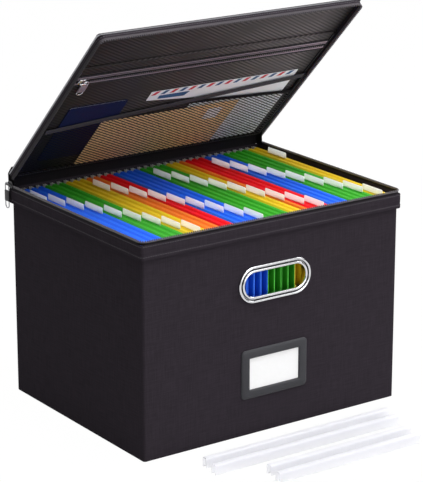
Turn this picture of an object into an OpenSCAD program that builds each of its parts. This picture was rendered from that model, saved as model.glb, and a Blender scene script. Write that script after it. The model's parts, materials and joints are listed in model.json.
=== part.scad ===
// Portable file box: a fabric-covered board box with a zip-round lid, two metal hand
// holes, mesh pockets inside the lid and hanging folders on its front and rear walls.
// Millimetres. The origin is the centre of the underside; +X runs right along the front
// wall, +Y goes back to the lid hinge and +Z is up.

/* [Box walls] */
// Outside width of the walls, along the front
body_w = 400; // [370:1:430]
// Outside depth of the walls, front to rear
body_d = 312; // [296:1:330]
// Height of the walls, whose top edges are the folder rails
wall_h = 275; // [255:1:300]
// Thickness of a fabric-covered wall board
wall_t = 3.2; // [2.6:0.1:3.6]
// Thickness of the base board
base_t = 4; // [3:0.5:6]

/* [Rim] */
// How far the rim stands out from the walls
rim_proud = 3.5; // [3.2:0.1:4.2]
// Thickness of the rim fabric
rim_t = 1; // [0.8:0.1:1.2]
// How far the rim reaches down over the walls
rim_lap = 11.5; // [8:0.5:20]
// How far the rim fabric rises above the walls
rim_rise = 8.5; // [8:0.5:14]
// Corner radius of the rim at the front, seen from above
front_r = 10; // [6:0.5:14]
// Corner radius of the rim at the rear
rear_r = 5; // [4:0.5:8]

/* [Zips] */
// Distance from one tooth to the next
tooth_pitch = 4; // [3.6:0.1:5]
// Length of a tooth along its row
tooth_w = 2.2; // [1.6:0.1:2.6]
// Height of a tooth above its cord
tooth_h = 1.8; // [1.4:0.1:2.2]
// Thickness of a row of teeth
row_t = 2.2; // [1.8:0.1:2.4]
// Height of the cord that the teeth grip
cord_h = 1; // [0.8:0.1:1.4]
// Thickness of the zip tape
tape_t = 0.6; // [0.4:0.1:0.8]
// Height of tape that shows beside a row of teeth on the rim
tape_h = 2.7; // [2.2:0.1:4]
// Gap between two rows while they are parted
row_gap = 1.4; // [1.2:0.1:2.4]
// Height of tape between the lid's teeth and its band
lid_tape_h = 2.2; // [1.6:0.1:4]

/* [Zip sliders] */
// Length of a slider along its zip
slider_len = 13; // [11:0.5:15]
// Thickness of a slider's plates
slider_plate = 1; // [0.8:0.1:1.2]
// Distance between the two posts of a slider's bridge
bridge_span = 9; // [7:0.5:10]
// Radius of a bridge post
post_r = 0.9; // [0.7:0.1:1]
// Radius of the pull's wire
wire_r = 0.65; // [0.5:0.05:0.7]
// Width of a pull over its wires
pull_w = 10; // [8:0.5:11]
// Length of the main zip's pull
main_pull_len = 36; // [30:1:42]
// Length of the pocket zip's pull
pocket_pull_len = 30; // [26:1:34]
// Length of the sleeve on a pull
sleeve_len = 15; // [10:1:18]

/* [Lid] */
// Thickness of the covered lid board
lid_t = 4; // [3:0.5:5]
// Height of the fabric band under the lid's edge
lid_band_h = 4.6; // [3.6:0.2:8]
// Angle by which the lid stands open
lid_open = 45; // [0:1:100]

/* [Lid pockets] */
// Thickness of the lining and of the pocket sheets
sheet_t = 0.4; // [0.3:0.1:0.5]
// Distance from the hinge to the middle of the pocket zip
pocket_zip_v = 222; // [210:1:230]
// Width of each tape of the pocket zip
pocket_tape_w = 8; // [6:0.5:10]
// Distance from the hinge to the fold above the pocket zip
pocket_fold_v = 247; // [244:1:254]
// Width of the strips that hold the pockets at the sides
side_strip_w = 5; // [4:0.5:8]
// Distance from the hinge to the open pocket's mouth at its left end
mouth_left_v = 113; // [105:1:125]
// Distance from the hinge to the open pocket's mouth at its right end
mouth_right_v = 156; // [145:1:165]
// Width of the binding on the mouth
binding_w = 7; // [5:0.5:9]
// Gaps in one row of the pocket net
net_across = 18; // [12:1:20]
// Rows of gaps in the pocket net
net_rows = 12; // [8:1:14]
// Width of the net's strands
net_strand = 1.6; // [1.2:0.1:2.2]

/* [Papers] */
// Width of the dark booklet
booklet_w = 88; // [80:1:95]
// Height of the dark booklet
booklet_h = 125; // [115:1:130]
// Thickness of the dark booklet
booklet_t = 1.6; // [1:0.1:1.7]
// Width of the kraft envelope
kraft_w = 221; // [205:1:230]
// Height of the kraft envelope
kraft_h = 104; // [95:1:108]
// Width of the striped envelope
airmail_w = 238; // [220:1:244]
// Height of the striped envelope
airmail_h = 158; // [150:1:162]
// Width of the loose papers
papers_w = 236; // [200:1:240]
// Height of the loose papers
papers_h = 102; // [90:1:108]
// Distance from the pocket's left end to the booklet
booklet_side = 18; // [16:1:24]
// Height of the booklet's foot above the pocket's rear seam
booklet_lift = 25; // [20:1:30]
// Distance from the pocket's right end to the striped envelope
airmail_side = 14; // [12:1:24]
// Distance from the pocket's right end to the loose papers
papers_side = 8; // [4:1:12]

/* [Hand holes] */
// Width of a hand hole
hole_w = 96; // [84:1:110]
// Height of a hand hole
hole_h = 32; // [28:1:38]
// Width of the metal ring round a hand hole
ring_w = 8.6; // [7:0.2:11]
// How far the ring stands out from the wall
ring_out = 3.4; // [2.6:0.1:4]
// Height of a hand hole's middle above the floor
hole_z = 202; // [190:1:210]

/* [Label holder] */
// Width of the label holder
holder_w = 104; // [96:1:120]
// Height of the label holder
holder_h = 66; // [60:1:72]
// How far the label holder stands out from the wall
holder_t = 3.2; // [2.6:0.1:4]
// Height of the label holder's middle above the floor
holder_z = 82.5; // [70:0.5:90]
// Width of the frame round the window
holder_frame = 12; // [10:0.5:14]
// Thickness of the label card
card_t = 0.5; // [0.3:0.1:0.6]

/* [Hanging folders] */
// Height of a folder
folder_h = 235; // [215:1:245]
// Width of a folder at its top
folder_w = 4.8; // [4.6:0.1:5.4]
// Thickness of the folder card
folder_t = 0.45; // [0.35:0.05:0.5]
// Gap between the folder's ends and the wall boards
folder_gap = 3.8; // [3:0.1:6]
// Height of a folder bar
bar_h = 9; // [8:0.5:11]
// Thickness of a folder bar
bar_t = 0.7; // [0.5:0.1:0.9]
// Height of the bar above the rail
bar_rise = 5.5; // [5:0.1:6]
// Length of a tab along its folder
tab_w = 40; // [34:1:44]
// Height of a tab above its folder
tab_h = 7.7; // [6:0.1:8.2]
// Distance from the folders' rear end to the first tab
tab_inset = 32; // [28:1:36]
// Distance from the folders' front end to the ninth tab
tab_front = 10; // [6:1:14]

/* [Clear slides] */
// Length of the two long slides
long_slide = 291; // [270:1:300]
// Length of the two short slides
short_slide = 223; // [200:1:240]
// Width of a slide
slide_w = 9; // [8:0.5:11]
// Height of a slide
slide_h = 13; // [11:0.5:15]
// Wall of a slide
slide_t = 1; // [0.8:0.1:1.3]

/* [Hidden] */
$fn = 64;

// Running clearance of the sliders, pulls, card and hooks
clear = 0.3;
// Gap between sheets that lie on each other without being sewn
sheet_gap = 0.2;
eps = 0.01;

// Gap between a wall and the parts of a folder bar on both sides of it
hook_gap = 0.4;
// Length of the tip that a folder bar hangs outside the wall
hook_tip = 1.4;

// Rim outline and heights
rim_w = body_w + 2 * rim_proud;
rim_d = body_d + 2 * rim_proud;
rim_z0 = wall_h - rim_lap;
rim_z1 = wall_h + rim_rise;
row_h = cord_h + tooth_h;
rim_row_z = rim_z1 + tape_h;
rim_top = rim_row_z + row_h;
tape_inset = (rim_t - tape_t) / 2;
// The zip's free tail runs straight past the start of the rear corner
zip_tail = 2.5;
tail_y = rim_d / 2 - rear_r + zip_tail;

// Lid heights, with the lid shut
lid_row_z0 = rim_top + row_gap;
lid_row_z1 = lid_row_z0 + row_h;
lid_tape_z1 = lid_row_z1 + lid_tape_h;
lid_board_z = lid_tape_z1 + lid_band_h;
lid_top = lid_board_z + lid_t;
hinge_y = rim_d / 2;
hinge_z = lid_top;
hinge_roll_r = 1.2;
lid_rear_v = hinge_roll_r + 0.4;
skirt_rear_v = lid_rear_v + 1;

// Pocket layers under the shut lid, from the lining down
lining_z0 = lid_board_z - sheet_t;
slider_half_t = row_t / 2 + clear + slider_plate;
pocket_row_z = lining_z0 - clear - slider_half_t;
panel_z0 = pocket_row_z + tape_t / 2;
airmail_t = 0.5;
papers_t = 0.3;
kraft_t = 0.6;
airmail_z0 = panel_z0 - sheet_gap - airmail_t;
papers_z0 = airmail_z0 - sheet_gap - papers_t;
booklet_z0 = panel_z0 - sheet_gap - booklet_t;
kraft_z0 = min(papers_z0, booklet_z0) - sheet_gap - kraft_t;
net_z0 = kraft_z0 - sheet_gap - sheet_t;
binding_t = sheet_t + 0.5;
pocket_half = rim_w / 2 - rim_t / 2 - slider_half_t - clear - side_strip_w;
pocket_rear_v = 8;
pocket_row_off = row_gap / 2 + row_h;

// Where the sliders stand
slider_short_of_tail = 3.5;
pocket_slider_gap = 2;
main_slider_y = tail_y - slider_short_of_tail;
main_slider_z = rim_top + row_gap / 2;
main_row_x = -(rim_w / 2 - rim_t / 2);
pocket_slider_x = -(pocket_half - slider_len / 2 - pocket_slider_gap);
bridge_gap = 2 * wire_r + 1.3;
sleeve_t = 2 * wire_r + 0.7;
sleeve_edge = 0.4;
pull_plane = slider_half_t + bridge_gap / 2;

// Hanging folders
inner_w = body_w - 2 * wall_t;
folder_len = body_d - 2 * wall_t - 2 * folder_gap;
end_gap = 1.1;
left_shades = [4, 3, 3, 2];
middle_shades = [2, 4, 4, 2];
right_shades = [1, 3, 3, 4, 2];
left_count = before(left_shades, len(left_shades));
middle_count = before(middle_shades, len(middle_shades));
right_count = before(right_shades, len(right_shades));
left_first = 0;
middle_first = left_first + left_count;
right_first = middle_first + middle_count;
folder_n = right_first + right_count;
folder_pitch = (inner_w - 2 * end_gap - folder_w) / (folder_n - 1);
folder_x0 = -inner_w / 2 + end_gap + folder_w / 2;
hook_seat = 0.05;
folder_top = wall_h + hook_seat + bar_rise + folder_t;
hem_w = bar_t + 2 * folder_t + 0.5;
tabs_in_row = 9;
tab_step = (folder_len - tab_inset - tab_front - tab_w) / (tabs_in_row - 1);

// Colours as the object shows them
linen = "#2e2a30";
linen_dark = "#221f24";
tape_grey = "#5d5860";
plum = "#6b5a66";
chrome = "#d8d9dc";
holder_grey = "#44444a";
folder_blue = "#1e64f0";
folder_green = "#32a528";
folder_yellow = "#d7be1e";
folder_orange = "#f06e1e";
folder_red = "#e60019";

// Sum of the first k numbers of a list
function before(list, k) = k <= 0 ? 0 : list[k - 1] + before(list, k - 1);

// Outline from above with rounded corners of one radius at the front and one at the rear
module rim_outline(w, d, rf, rr) {
    translate([-w / 2, -d / 2 + rf])
        square([w, d - rf - rr]);
    translate([-w / 2 + rf, -d / 2])
        square([w - 2 * rf, rf]);
    translate([-w / 2 + rr, d / 2 - rr])
        square([w - 2 * rr, rr]);
    for (side = [-1, 1]) {
        translate([side * (w / 2 - rf), -d / 2 + rf])
            circle(rf);
        translate([side * (w / 2 - rr), d / 2 - rr])
            circle(rr);
    }
}

// Outline that is rounded at the front only and runs straight back to rear_y
module open_outline(inset, rear_y) {
    w = rim_w - 2 * inset;
    y0 = -rim_d / 2 + inset;
    r = front_r - inset;
    translate([-w / 2, y0 + r])
        square([w, rear_y - y0 - r]);
    translate([-w / 2 + r, y0])
        square([w - 2 * r, r]);
    for (side = [-1, 1])
        translate([side * (w / 2 - r), y0 + r])
            circle(r);
}

// Band of thickness t on the left, front and right sides, its outer face inset from the rim
module three_sides(inset, t, rear_y) {
    difference() {
        open_outline(inset, rear_y);
        open_outline(inset + t, rear_y + 1);
    }
}

// Puts a part that is drawn on the shut lid into the lid's standing position
module on_lid() {
    translate([0, hinge_y, hinge_z])
        rotate([-lid_open, 0, 0])
            translate([0, -hinge_y, -hinge_z])
                children();
}

// A flat piece of the shut lid: children are drawn with X across and Y towards the hinge
module lid_sheet(z0, t) {
    translate([0, 0, z0])
        linear_extrude(t)
            children();
}

// Rectangle on the lid between two distances from the hinge
module lid_rect(x0, x1, v0, v1) {
    translate([x0, hinge_y - v1])
        square([x1 - x0, v1 - v0]);
}

// Slot shape with round ends, standing in the plane of the front wall
module oval_rod(w, h, t) {
    rotate([90, 0, 0])
        linear_extrude(t, center = true)
            oval(w, h);
}

module oval(w, h) {
    square([w - h, h], center = true);
    for (side = [-1, 1])
        translate([side * (w - h) / 2, 0])
            circle(h / 2);
}

// Walls
module wall_ring() {
    rim_outline(body_w, body_d, wall_t, wall_t);
}

module long_wall(side) {
    difference() {
        linear_extrude(wall_h)
            intersection() {
                wall_ring();
                translate([0, side * (body_d - wall_t) / 2])
                    square([body_w, wall_t], center = true);
            }
        translate([0, side * (body_d - wall_t) / 2, hole_z])
            oval_rod(hole_w + 2 * sleeve_wall + 0.4, hole_h + 2 * sleeve_wall + 0.4, 3 * wall_t);
    }
}

module side_wall(side) {
    translate([side * (body_w - wall_t) / 2, 0, wall_h / 2])
        cube([wall_t, body_d - 2 * wall_t, wall_h], center = true);
}

module front_panel() {
    color(linen) long_wall(-1);
}

module rear_panel() {
    color(linen) long_wall(1);
}

module left_panel() {
    color(linen) side_wall(-1);
}

module right_panel() {
    color(linen) side_wall(1);
}

module base_panel() {
    color(linen_dark)
        translate([0, 0, base_t / 2])
            cube([inner_w, body_d - 2 * wall_t, base_t], center = true);
}

// Rim: a fabric band that stands off the walls and is turned in at its foot, which leaves
// room behind it for the tips of the folder hooks
module rim_band() {
    color(linen) {
        translate([0, 0, rim_z0])
            linear_extrude(rim_z1 - rim_z0)
                difference() {
                    rim_outline(rim_w, rim_d, front_r, rear_r);
                    rim_outline(rim_w - 2 * rim_t, rim_d - 2 * rim_t, front_r - rim_t, rear_r - rim_t);
                }
        translate([0, 0, rim_z0])
            linear_extrude(rim_t)
                difference() {
                    rim_outline(rim_w - rim_t, rim_d - rim_t, front_r, rear_r);
                    wall_ring();
                }
    }
}

module rim_zip_tape() {
    color(tape_grey)
        translate([0, 0, rim_z1])
            linear_extrude(tape_h)
                three_sides(tape_inset, tape_t, tail_y);
}

// A straight row of teeth along X, its cord on the plane Z = 0 and its teeth pointing up
module tooth_row(len) {
    n = floor(len / tooth_pitch);
    margin = (len - n * tooth_pitch) / 2;
    gap = tooth_pitch - tooth_w;
    comb = concat(
        [[0, 0], [0, cord_h]],
        [for (i = [0:n - 1], k = [0:3])
            [margin + i * tooth_pitch + gap / 2 + (k < 2 ? 0 : tooth_w),
             cord_h + (k == 1 || k == 2 ? tooth_h : 0)]],
        [[len, cord_h], [len, 0]]);
    rotate([90, 0, 0])
        linear_extrude(row_t, center = true)
            polygon(comb);
}

// The cord and teeth round one front corner of the rim
module tooth_corner() {
    r = front_r - rim_t / 2;
    n = 4;
    rotate_extrude(angle = 90, start = 180)
        translate([r - row_t / 2, 0])
            square([row_t, cord_h]);
    for (i = [0:n - 1])
        rotate([0, 0, 180 + 90 * (i + 0.5) / n])
            translate([r - row_t / 2, -tooth_w / 2, 0])
                cube([row_t, tooth_w, row_h]);
}

// The rows of teeth on the left, front and right sides, from z = 0 up
module three_rows(rear_y) {
    x = rim_w / 2 - rim_t / 2;
    y0 = -rim_d / 2 + rim_t / 2;
    y1 = -rim_d / 2 + front_r;
    run = rear_y - y1;
    translate([-rim_w / 2 + front_r, y0, 0])
        tooth_row(rim_w - 2 * front_r);
    for (side = [-1, 1])
        translate([side * x, y1, 0])
            rotate([0, 0, 90])
                tooth_row(run);
    translate([-rim_w / 2 + front_r, y1, 0])
        tooth_corner();
    mirror([1, 0, 0])
        translate([-rim_w / 2 + front_r, y1, 0])
            tooth_corner();
}

module rim_zip_teeth() {
    color(tape_grey)
        translate([0, 0, rim_row_z])
            three_rows(tail_y);
}

// Fabric that rises from the rim's rear edge to the lid and is rolled over at its top
module hinge_gusset() {
    gusset_w = rim_w - 2 * rear_r;
    color(linen) {
        translate([-gusset_w / 2, hinge_y - rim_t, rim_z1])
            cube([gusset_w, rim_t, hinge_z - rim_z1]);
        translate([0, hinge_y, hinge_z])
            rotate([0, 90, 0])
                cylinder(r = hinge_roll_r, h = gusset_w, center = true);
    }
}

// Hand holes: a rolled metal ring outside, its sleeve through the wall, a plate inside
sleeve_wall = 1;
backing_t = 1.2;

module ring_profile() {
    // Section of the ring: X out from the hole's edge, Y out from the wall
    bead = ring_out / 2;
    difference() {
        union() {
            square([ring_w, ring_out - bead]);
            translate([bead, ring_out - bead])
                circle(bead);
            translate([ring_w - bead, ring_out - bead])
                circle(bead);
            translate([bead, 0])
                square([ring_w - 2 * bead, ring_out - 0.9]);
        }
        translate([ring_w / 2 - bead - 2, -3])
            square([bead * 2 + 4, 3]);
    }
    translate([0, -wall_t - backing_t])
        square([sleeve_wall, wall_t + backing_t + eps]);
}

// Carries a section round the hole: two straight runs and two half turns
module round_the_hole() {
    r = hole_h / 2;
    half = (hole_w - hole_h) / 2;
    rotate([90, 0, 0]) {
        for (side = [-1, 1])
            translate([side * half, 0, 0])
                rotate_extrude(angle = 180, start = side > 0 ? -90 : 90)
                    translate([r, 0])
                        children();
        for (turn = [0, 180])
            rotate([0, 0, turn])
                translate([-half, r, 0])
                    rotate([90, 0, 90])
                        linear_extrude(2 * half)
                            children();
    }
}

module grommet() {
    round_the_hole()
        ring_profile();
}

module front_grommet() {
    color(chrome)
        translate([0, -body_d / 2, hole_z])
            grommet();
}

module rear_grommet() {
    color(chrome)
        translate([0, body_d / 2, hole_z])
            rotate([0, 0, 180])
                grommet();
}

module backing() {
    difference() {
        oval_rod(hole_w + 2 * ring_w, hole_h + 2 * ring_w, backing_t);
        oval_rod(hole_w + 2 * sleeve_wall + 0.2, hole_h + 2 * sleeve_wall + 0.2, 3 * backing_t);
    }
}

module grommet_backings() {
    color(chrome)
        for (side = [-1, 1])
            translate([0, side * (body_d / 2 - wall_t - backing_t / 2), hole_z])
                backing();
}

// Label holder: a bevelled frame with a window and a slot for the card, open at the top
holder_r = 8;
holder_bevel = 2;
card_w = holder_w - holder_frame;
card_h = holder_h - holder_frame;
slot_t = card_t + 2 * clear;

module holder_plate(w, h, r, t) {
    rotate([90, 0, 0])
        linear_extrude(t)
            translate([-w / 2, -h / 2])
                union() {
                    translate([r, 0]) square([w - 2 * r, h]);
                    translate([0, r]) square([w, h - 2 * r]);
                    for (x = [r, w - r], z = [r, h - r])
                        translate([x, z]) circle(r, $fn = 32);
                }
}

module label_holder() {
    window_w = holder_w - 2 * holder_frame;
    window_h = holder_h - 2 * holder_frame;
    color(holder_grey)
        translate([0, -body_d / 2, holder_z])
            difference() {
                hull() {
                    holder_plate(holder_w, holder_h, holder_r, 1);
                    holder_plate(holder_w - 2 * holder_bevel, holder_h - 2 * holder_bevel,
                                 holder_r - holder_bevel, holder_t);
                }
                hull() {
                    translate([0, -slot_t + eps, 0])
                        holder_plate(window_w, window_h, 2, eps);
                    translate([0, -holder_t, 0])
                        holder_plate(window_w + 3, window_h + 3, 3, 1);
                }
                translate([-card_w / 2 - clear, -slot_t, -card_h / 2 - clear])
                    cube([card_w + 2 * clear, slot_t + 1, holder_h]);
            }
}

module label_card() {
    color("white")
        translate([-card_w / 2, -body_d / 2 - clear - card_t, holder_z - card_h / 2])
            cube([card_w, card_t, card_h]);
}

// Lid
module lid_board() {
    color(linen)
        on_lid()
            lid_sheet(lid_board_z, lid_t)
                open_outline(0, hinge_y - lid_rear_v);
}

module lid_band() {
    color(linen)
        on_lid()
            lid_sheet(lid_tape_z1, lid_band_h)
                three_sides(0, rim_t, hinge_y - skirt_rear_v);
}

module lid_zip_tape() {
    color(tape_grey)
        on_lid()
            lid_sheet(lid_row_z1, lid_tape_z1 - lid_row_z1)
                three_sides(tape_inset, tape_t, hinge_y - skirt_rear_v);
}

module lid_zip_teeth() {
    color(tape_grey)
        on_lid()
            translate([0, 0, lid_row_z1])
                mirror([0, 0, 1])
                    three_rows(hinge_y - skirt_rear_v);
}

module lid_lining() {
    color(linen_dark)
        on_lid()
            lid_sheet(lining_z0, sheet_t)
                open_outline(rim_t + clear, hinge_y - skirt_rear_v);
}

// Strip between the fold and the pocket zip, with the fold itself
module zip_pocket_strip() {
    fold_w = 3;
    color(plum)
        on_lid() {
            lid_sheet(panel_z0, sheet_t)
                lid_rect(-pocket_half, pocket_half,
                         pocket_zip_v + pocket_row_off + pocket_tape_w / 2, pocket_fold_v);
            lid_sheet(panel_z0, lining_z0 - panel_z0)
                lid_rect(-pocket_half, pocket_half, pocket_fold_v, pocket_fold_v + fold_w);
        }
}

// Back sheet of the zipped pocket, from the zip down to the hinge
module zip_pocket_panel() {
    color(linen_dark)
        on_lid()
            lid_sheet(panel_z0, sheet_t)
                lid_rect(-pocket_half, pocket_half, pocket_rear_v,
                         pocket_zip_v - pocket_row_off - pocket_tape_w / 2);
}

module pocket_zip_tapes() {
    color(plum)
        on_lid()
            lid_sheet(pocket_row_z - tape_t / 2, tape_t)
                for (side = [-1, 1])
                    translate([0, hinge_y - pocket_zip_v + side * (pocket_row_off + pocket_tape_w / 2)])
                        square([2 * pocket_half, pocket_tape_w], center = true);
}

module pocket_zip_teeth() {
    color("#2c2528")
        on_lid()
            for (side = [0, 1])
                translate([-pocket_half, hinge_y - pocket_zip_v, pocket_row_z])
                    mirror([0, side, 0])
                        translate([0, -pocket_row_off, 0])
                            rotate([-90, 0, 0])
                                tooth_row(2 * pocket_half);
}

// Open pocket: a net with a slanting mouth
function mouth_v(x) = mouth_left_v
    + (mouth_right_v - mouth_left_v) * (x + pocket_half) / (2 * pocket_half);

// Point of the net: x across, f from 0 at the pocket's rear edge to 1 at its mouth
function net_point(x, f) =
    [x, hinge_y - pocket_rear_v - f * (mouth_v(x) - binding_w - pocket_rear_v)];

module open_pocket_mesh() {
    px = 2 * pocket_half / (net_across + 1);
    pf = 1 / (net_rows + 1);
    span = (mouth_left_v + mouth_right_v) / 2 - binding_w - pocket_rear_v;
    a = px / 2 - net_strand / 2;
    b = pf - net_strand / span;
    edge = [net_point(-pocket_half, 0), net_point(pocket_half, 0),
            net_point(pocket_half, 1), net_point(-pocket_half, 1)];
    gaps = [for (j = [0:net_rows - 1], i = [0:net_across - 1])
        let (x = -pocket_half + px * (i + 0.75 + (j % 2) / 2), f = pf * (j + 1))
            for (p = [[-a, 0], [0, -b], [a, 0], [0, b]]) net_point(x + p[0], f + p[1])];
    paths = concat([[0, 1, 2, 3]],
        [for (k = [0:net_across * net_rows - 1]) [for (c = [0:3]) 4 + 4 * k + c]]);
    color("#17161a")
        on_lid()
            lid_sheet(net_z0, sheet_t)
                polygon(concat(edge, gaps), paths);
}

module open_pocket_binding() {
    p0 = net_point(-pocket_half, 1);
    p1 = net_point(pocket_half, 1);
    color(tape_grey)
        on_lid()
            lid_sheet(net_z0 - binding_t + sheet_t, binding_t)
                polygon([p0, p1, p1 - [0, binding_w], p0 - [0, binding_w]]);
}

// Sewn strips that carry the pocket layers: deep beside the open pocket and at the
// hinge, and shallow beside the zipped pocket, where the pull swings over them
module pocket_side_strips() {
    shallow_z0 = pocket_row_z - tape_t / 2;
    color(linen)
        on_lid() {
            lid_sheet(net_z0, lining_z0 - net_z0) {
                side_strip(-1, skirt_rear_v, mouth_left_v);
                side_strip(1, skirt_rear_v, mouth_right_v);
                lid_rect(-pocket_half, pocket_half, skirt_rear_v, pocket_rear_v);
            }
            lid_sheet(shallow_z0, lining_z0 - shallow_z0) {
                side_strip(-1, mouth_left_v, pocket_fold_v);
                side_strip(1, mouth_right_v, pocket_fold_v);
            }
        }
}

module side_strip(side, v0, v1) {
    x0 = side < 0 ? -pocket_half - side_strip_w : pocket_half;
    lid_rect(x0, x0 + side_strip_w, v0, v1);
}

// Papers in the pocket, each a flat sheet at its own depth, standing on its rear seam
paper_v = pocket_rear_v + clear;
booklet_x0 = -pocket_half + booklet_side;
airmail_x1 = pocket_half - airmail_side;
papers_x1 = pocket_half - papers_side;

module paper(x0, v0, w, h, z0, t) {
    on_lid()
        lid_sheet(z0, t)
            lid_rect(x0, x0 + w, v0, v0 + h);
}

module booklet() {
    color("#101a3c")
        paper(booklet_x0, paper_v + booklet_lift, booklet_w, booklet_h, booklet_z0, booklet_t);
}

module airmail_envelope() {
    color("#e8ecf2")
        paper(airmail_x1 - airmail_w, paper_v, airmail_w, airmail_h, airmail_z0, airmail_t);
}

module kraft_envelope() {
    color("#b98f58")
        paper(-kraft_w / 2, paper_v, kraft_w, kraft_h, kraft_z0, kraft_t);
}

module loose_papers() {
    color("#e9e9ea")
        paper(papers_x1 - papers_w, paper_v, papers_w, papers_h, papers_z0, papers_t);
}

// Zip slider on a row along Y: X is the side that shows, Z crosses from row to row
module slider_plate_shape() {
    half_l = slider_len / 2;
    half_h = row_gap / 2 + row_h + 1;
    cut = 2;
    polygon([[-half_l + cut, -half_h], [half_l - 2 * cut, -half_h], [half_l, -half_h + 2 * cut],
             [half_l, half_h - 2 * cut], [half_l - 2 * cut, half_h], [-half_l + cut, half_h],
             [-half_l, half_h - cut], [-half_l, -half_h + cut]]);
}

// Drawn with its length along X, its width along Y and the side that shows towards +Z;
// lip_sides says on which sides of the zip the lips close in on the tape
module zip_slider(lip_sides) {
    inside = row_t / 2 + clear;
    neck_len = 5;
    neck = row_gap - 0.4;
    lip = inside - tape_t / 2 - clear;
    lip_w = 0.7;
    lip_y = row_gap / 2 + row_h + clear + lip_w / 2;
    bridge_w = 2.4;
    bridge_t = 1;
    post_len = bridge_gap + 2 * eps;
    for (side = [-1, 1])
        translate([0, 0, side * (inside + slider_plate / 2)])
            linear_extrude(slider_plate, center = true)
                slider_plate_shape();
    cube([neck_len, neck, 2 * inside + 2 * eps], center = true);
    for (y = lip_sides, side = [-1, 1])
        translate([0, y * lip_y, side * (inside - lip / 2 + eps)])
            cube([slider_len - neck_len, lip_w, lip], center = true);
    for (x = [-1, 1])
        translate([x * bridge_span / 2, 0, slider_half_t - eps])
            cylinder(r = post_r, h = post_len);
    translate([0, 0, slider_half_t + bridge_gap + bridge_t / 2])
        cube([bridge_span + 2 * post_r, bridge_w, bridge_t], center = true);
}

// Wire loop of a pull: it hangs on a bridge post at the origin and reaches along -Y
module pull_loop(len) {
    r = pull_w / 2 - wire_r;
    top = post_r + clear + wire_r;
    straight = len - pull_w;
    for (side = [-1, 1])
        translate([side * r, top - r, 0])
            rotate([90, 0, 0])
                cylinder(r = wire_r, h = straight, $fn = 24);
    translate([0, top - r, 0])
        rotate_extrude(angle = 180, start = 0)
            translate([r, 0])
                circle(wire_r, $fn = 24);
    translate([0, top - r - straight, 0])
        rotate_extrude(angle = 180, start = 180)
            translate([r, 0])
                circle(wire_r, $fn = 24);
}

// Flat sleeve that slips over both wires of a pull
module pull_sleeve(len) {
    r = pull_w / 2 - wire_r;
    top = post_r + clear + wire_r;
    middle = top - len / 2;
    difference() {
        translate([0, middle, 0])
            cube([pull_w + 2 * sleeve_edge, sleeve_len, sleeve_t], center = true);
        for (side = [-1, 1])
            translate([side * r, middle, 0])
                rotate([90, 0, 0])
                    cylinder(r = wire_r + 0.05, h = sleeve_len + 2, center = true, $fn = 24);
    }
}

module at_main_slider() {
    translate([main_row_x, main_slider_y, main_slider_z])
        rotate([0, -90, 0])
            rotate([0, 0, 90])
                children();
}

// Lies on the outer face of the slider's plate, at the rear post
module at_main_pull() {
    translate([main_row_x - pull_plane, main_slider_y + bridge_span / 2, main_slider_z])
        rotate([90, 0, -90])
            children();
}

// Its lips close in on the rim's tape alone, so that the lid's row can swing away
module main_slider() {
    color(chrome) at_main_slider() zip_slider([1]);
}

module main_pull_loop() {
    color(chrome) at_main_pull() pull_loop(main_pull_len);
}

module main_pull_sleeve() {
    color("#1b1a1c") at_main_pull() pull_sleeve(main_pull_len);
}

// The pocket slider shows on the underside of the lid
module at_pocket_slider() {
    on_lid()
        translate([pocket_slider_x, hinge_y - pocket_zip_v, pocket_row_z])
            rotate([180, 0, 0])
                children();
}

module pocket_slider() {
    color(chrome) at_pocket_slider() zip_slider([-1, 1]);
}

module at_pocket_pull() {
    at_pocket_slider()
        translate([bridge_span / 2, 0, pull_plane])
            children();
}

module pocket_pull_loop() {
    color(chrome) at_pocket_pull() pull_loop(pocket_pull_len);
}

module pocket_pull_sleeve() {
    color(plum) at_pocket_pull() pull_sleeve(pocket_pull_len);
}

// Section of a folder: two leaves joined at the bottom, each hemmed over its bar
module folder_section() {
    half = folder_w / 2;
    hem_h = bar_h + 2;
    translate([-half, folder_top - folder_h])
        square([folder_w, folder_t]);
    for (side = [0, 1])
        mirror([side, 0]) {
            translate([-half, folder_top - folder_h])
                square([folder_t, folder_h]);
            translate([-half, folder_top - folder_t])
                square([hem_w, folder_t]);
            translate([-half + hem_w - folder_t, folder_top - hem_h])
                square([folder_t, hem_h]);
        }
}

module folder(i) {
    translate([folder_x0 + i * folder_pitch, folder_len / 2, 0])
        rotate([90, 0, 0])
            linear_extrude(folder_len)
                folder_section();
}

// The folders of one colour: entry k in a group's list of counts
module shade_of_folders(shade, group_first, counts, k) {
    first = group_first + before(counts, k);
    color(shade)
        for (i = [first:first + counts[k] - 1])
            folder(i);
}

// Side view of a bar: its notches sit on the wall tops and its tips hang outside them
module bar_profile() {
    top = folder_top - folder_t;
    seat = wall_h + hook_seat;
    wall_in = body_d / 2 - wall_t - hook_gap;
    wall_out = body_d / 2 + hook_gap;
    tip = wall_out + hook_tip;
    polygon([[-tip, top], [tip, top], [tip, top - bar_h], [wall_out, top - bar_h],
             [wall_out, seat], [wall_in, seat], [wall_in, top - bar_h],
             [-wall_in, top - bar_h], [-wall_in, seat], [-wall_out, seat],
             [-wall_out, top - bar_h], [-tip, top - bar_h]]);
}

module folder_bars(first, count) {
    off = folder_w / 2 - hem_w / 2;
    color("#c9c9cc")
        for (i = [first:first + count - 1], side = [-1, 1])
            translate([folder_x0 + i * folder_pitch + side * off - bar_t / 2, 0, 0])
                rotate([90, 0, 90])
                    linear_extrude(bar_t)
                        bar_profile();
}

// Tabs stand on the left leaf of each folder and step towards the front, nine to a row
module folder_tabs(first, count) {
    tab_t = 1;
    color("#e6efe6")
        for (i = [first:first + count - 1])
            translate([folder_x0 + i * folder_pitch - folder_w / 2 + 0.2,
                       folder_len / 2 - tab_inset - tab_w - tab_step * (i % tabs_in_row),
                       folder_top])
                cube([tab_t, tab_w, tab_h]);
}

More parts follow.
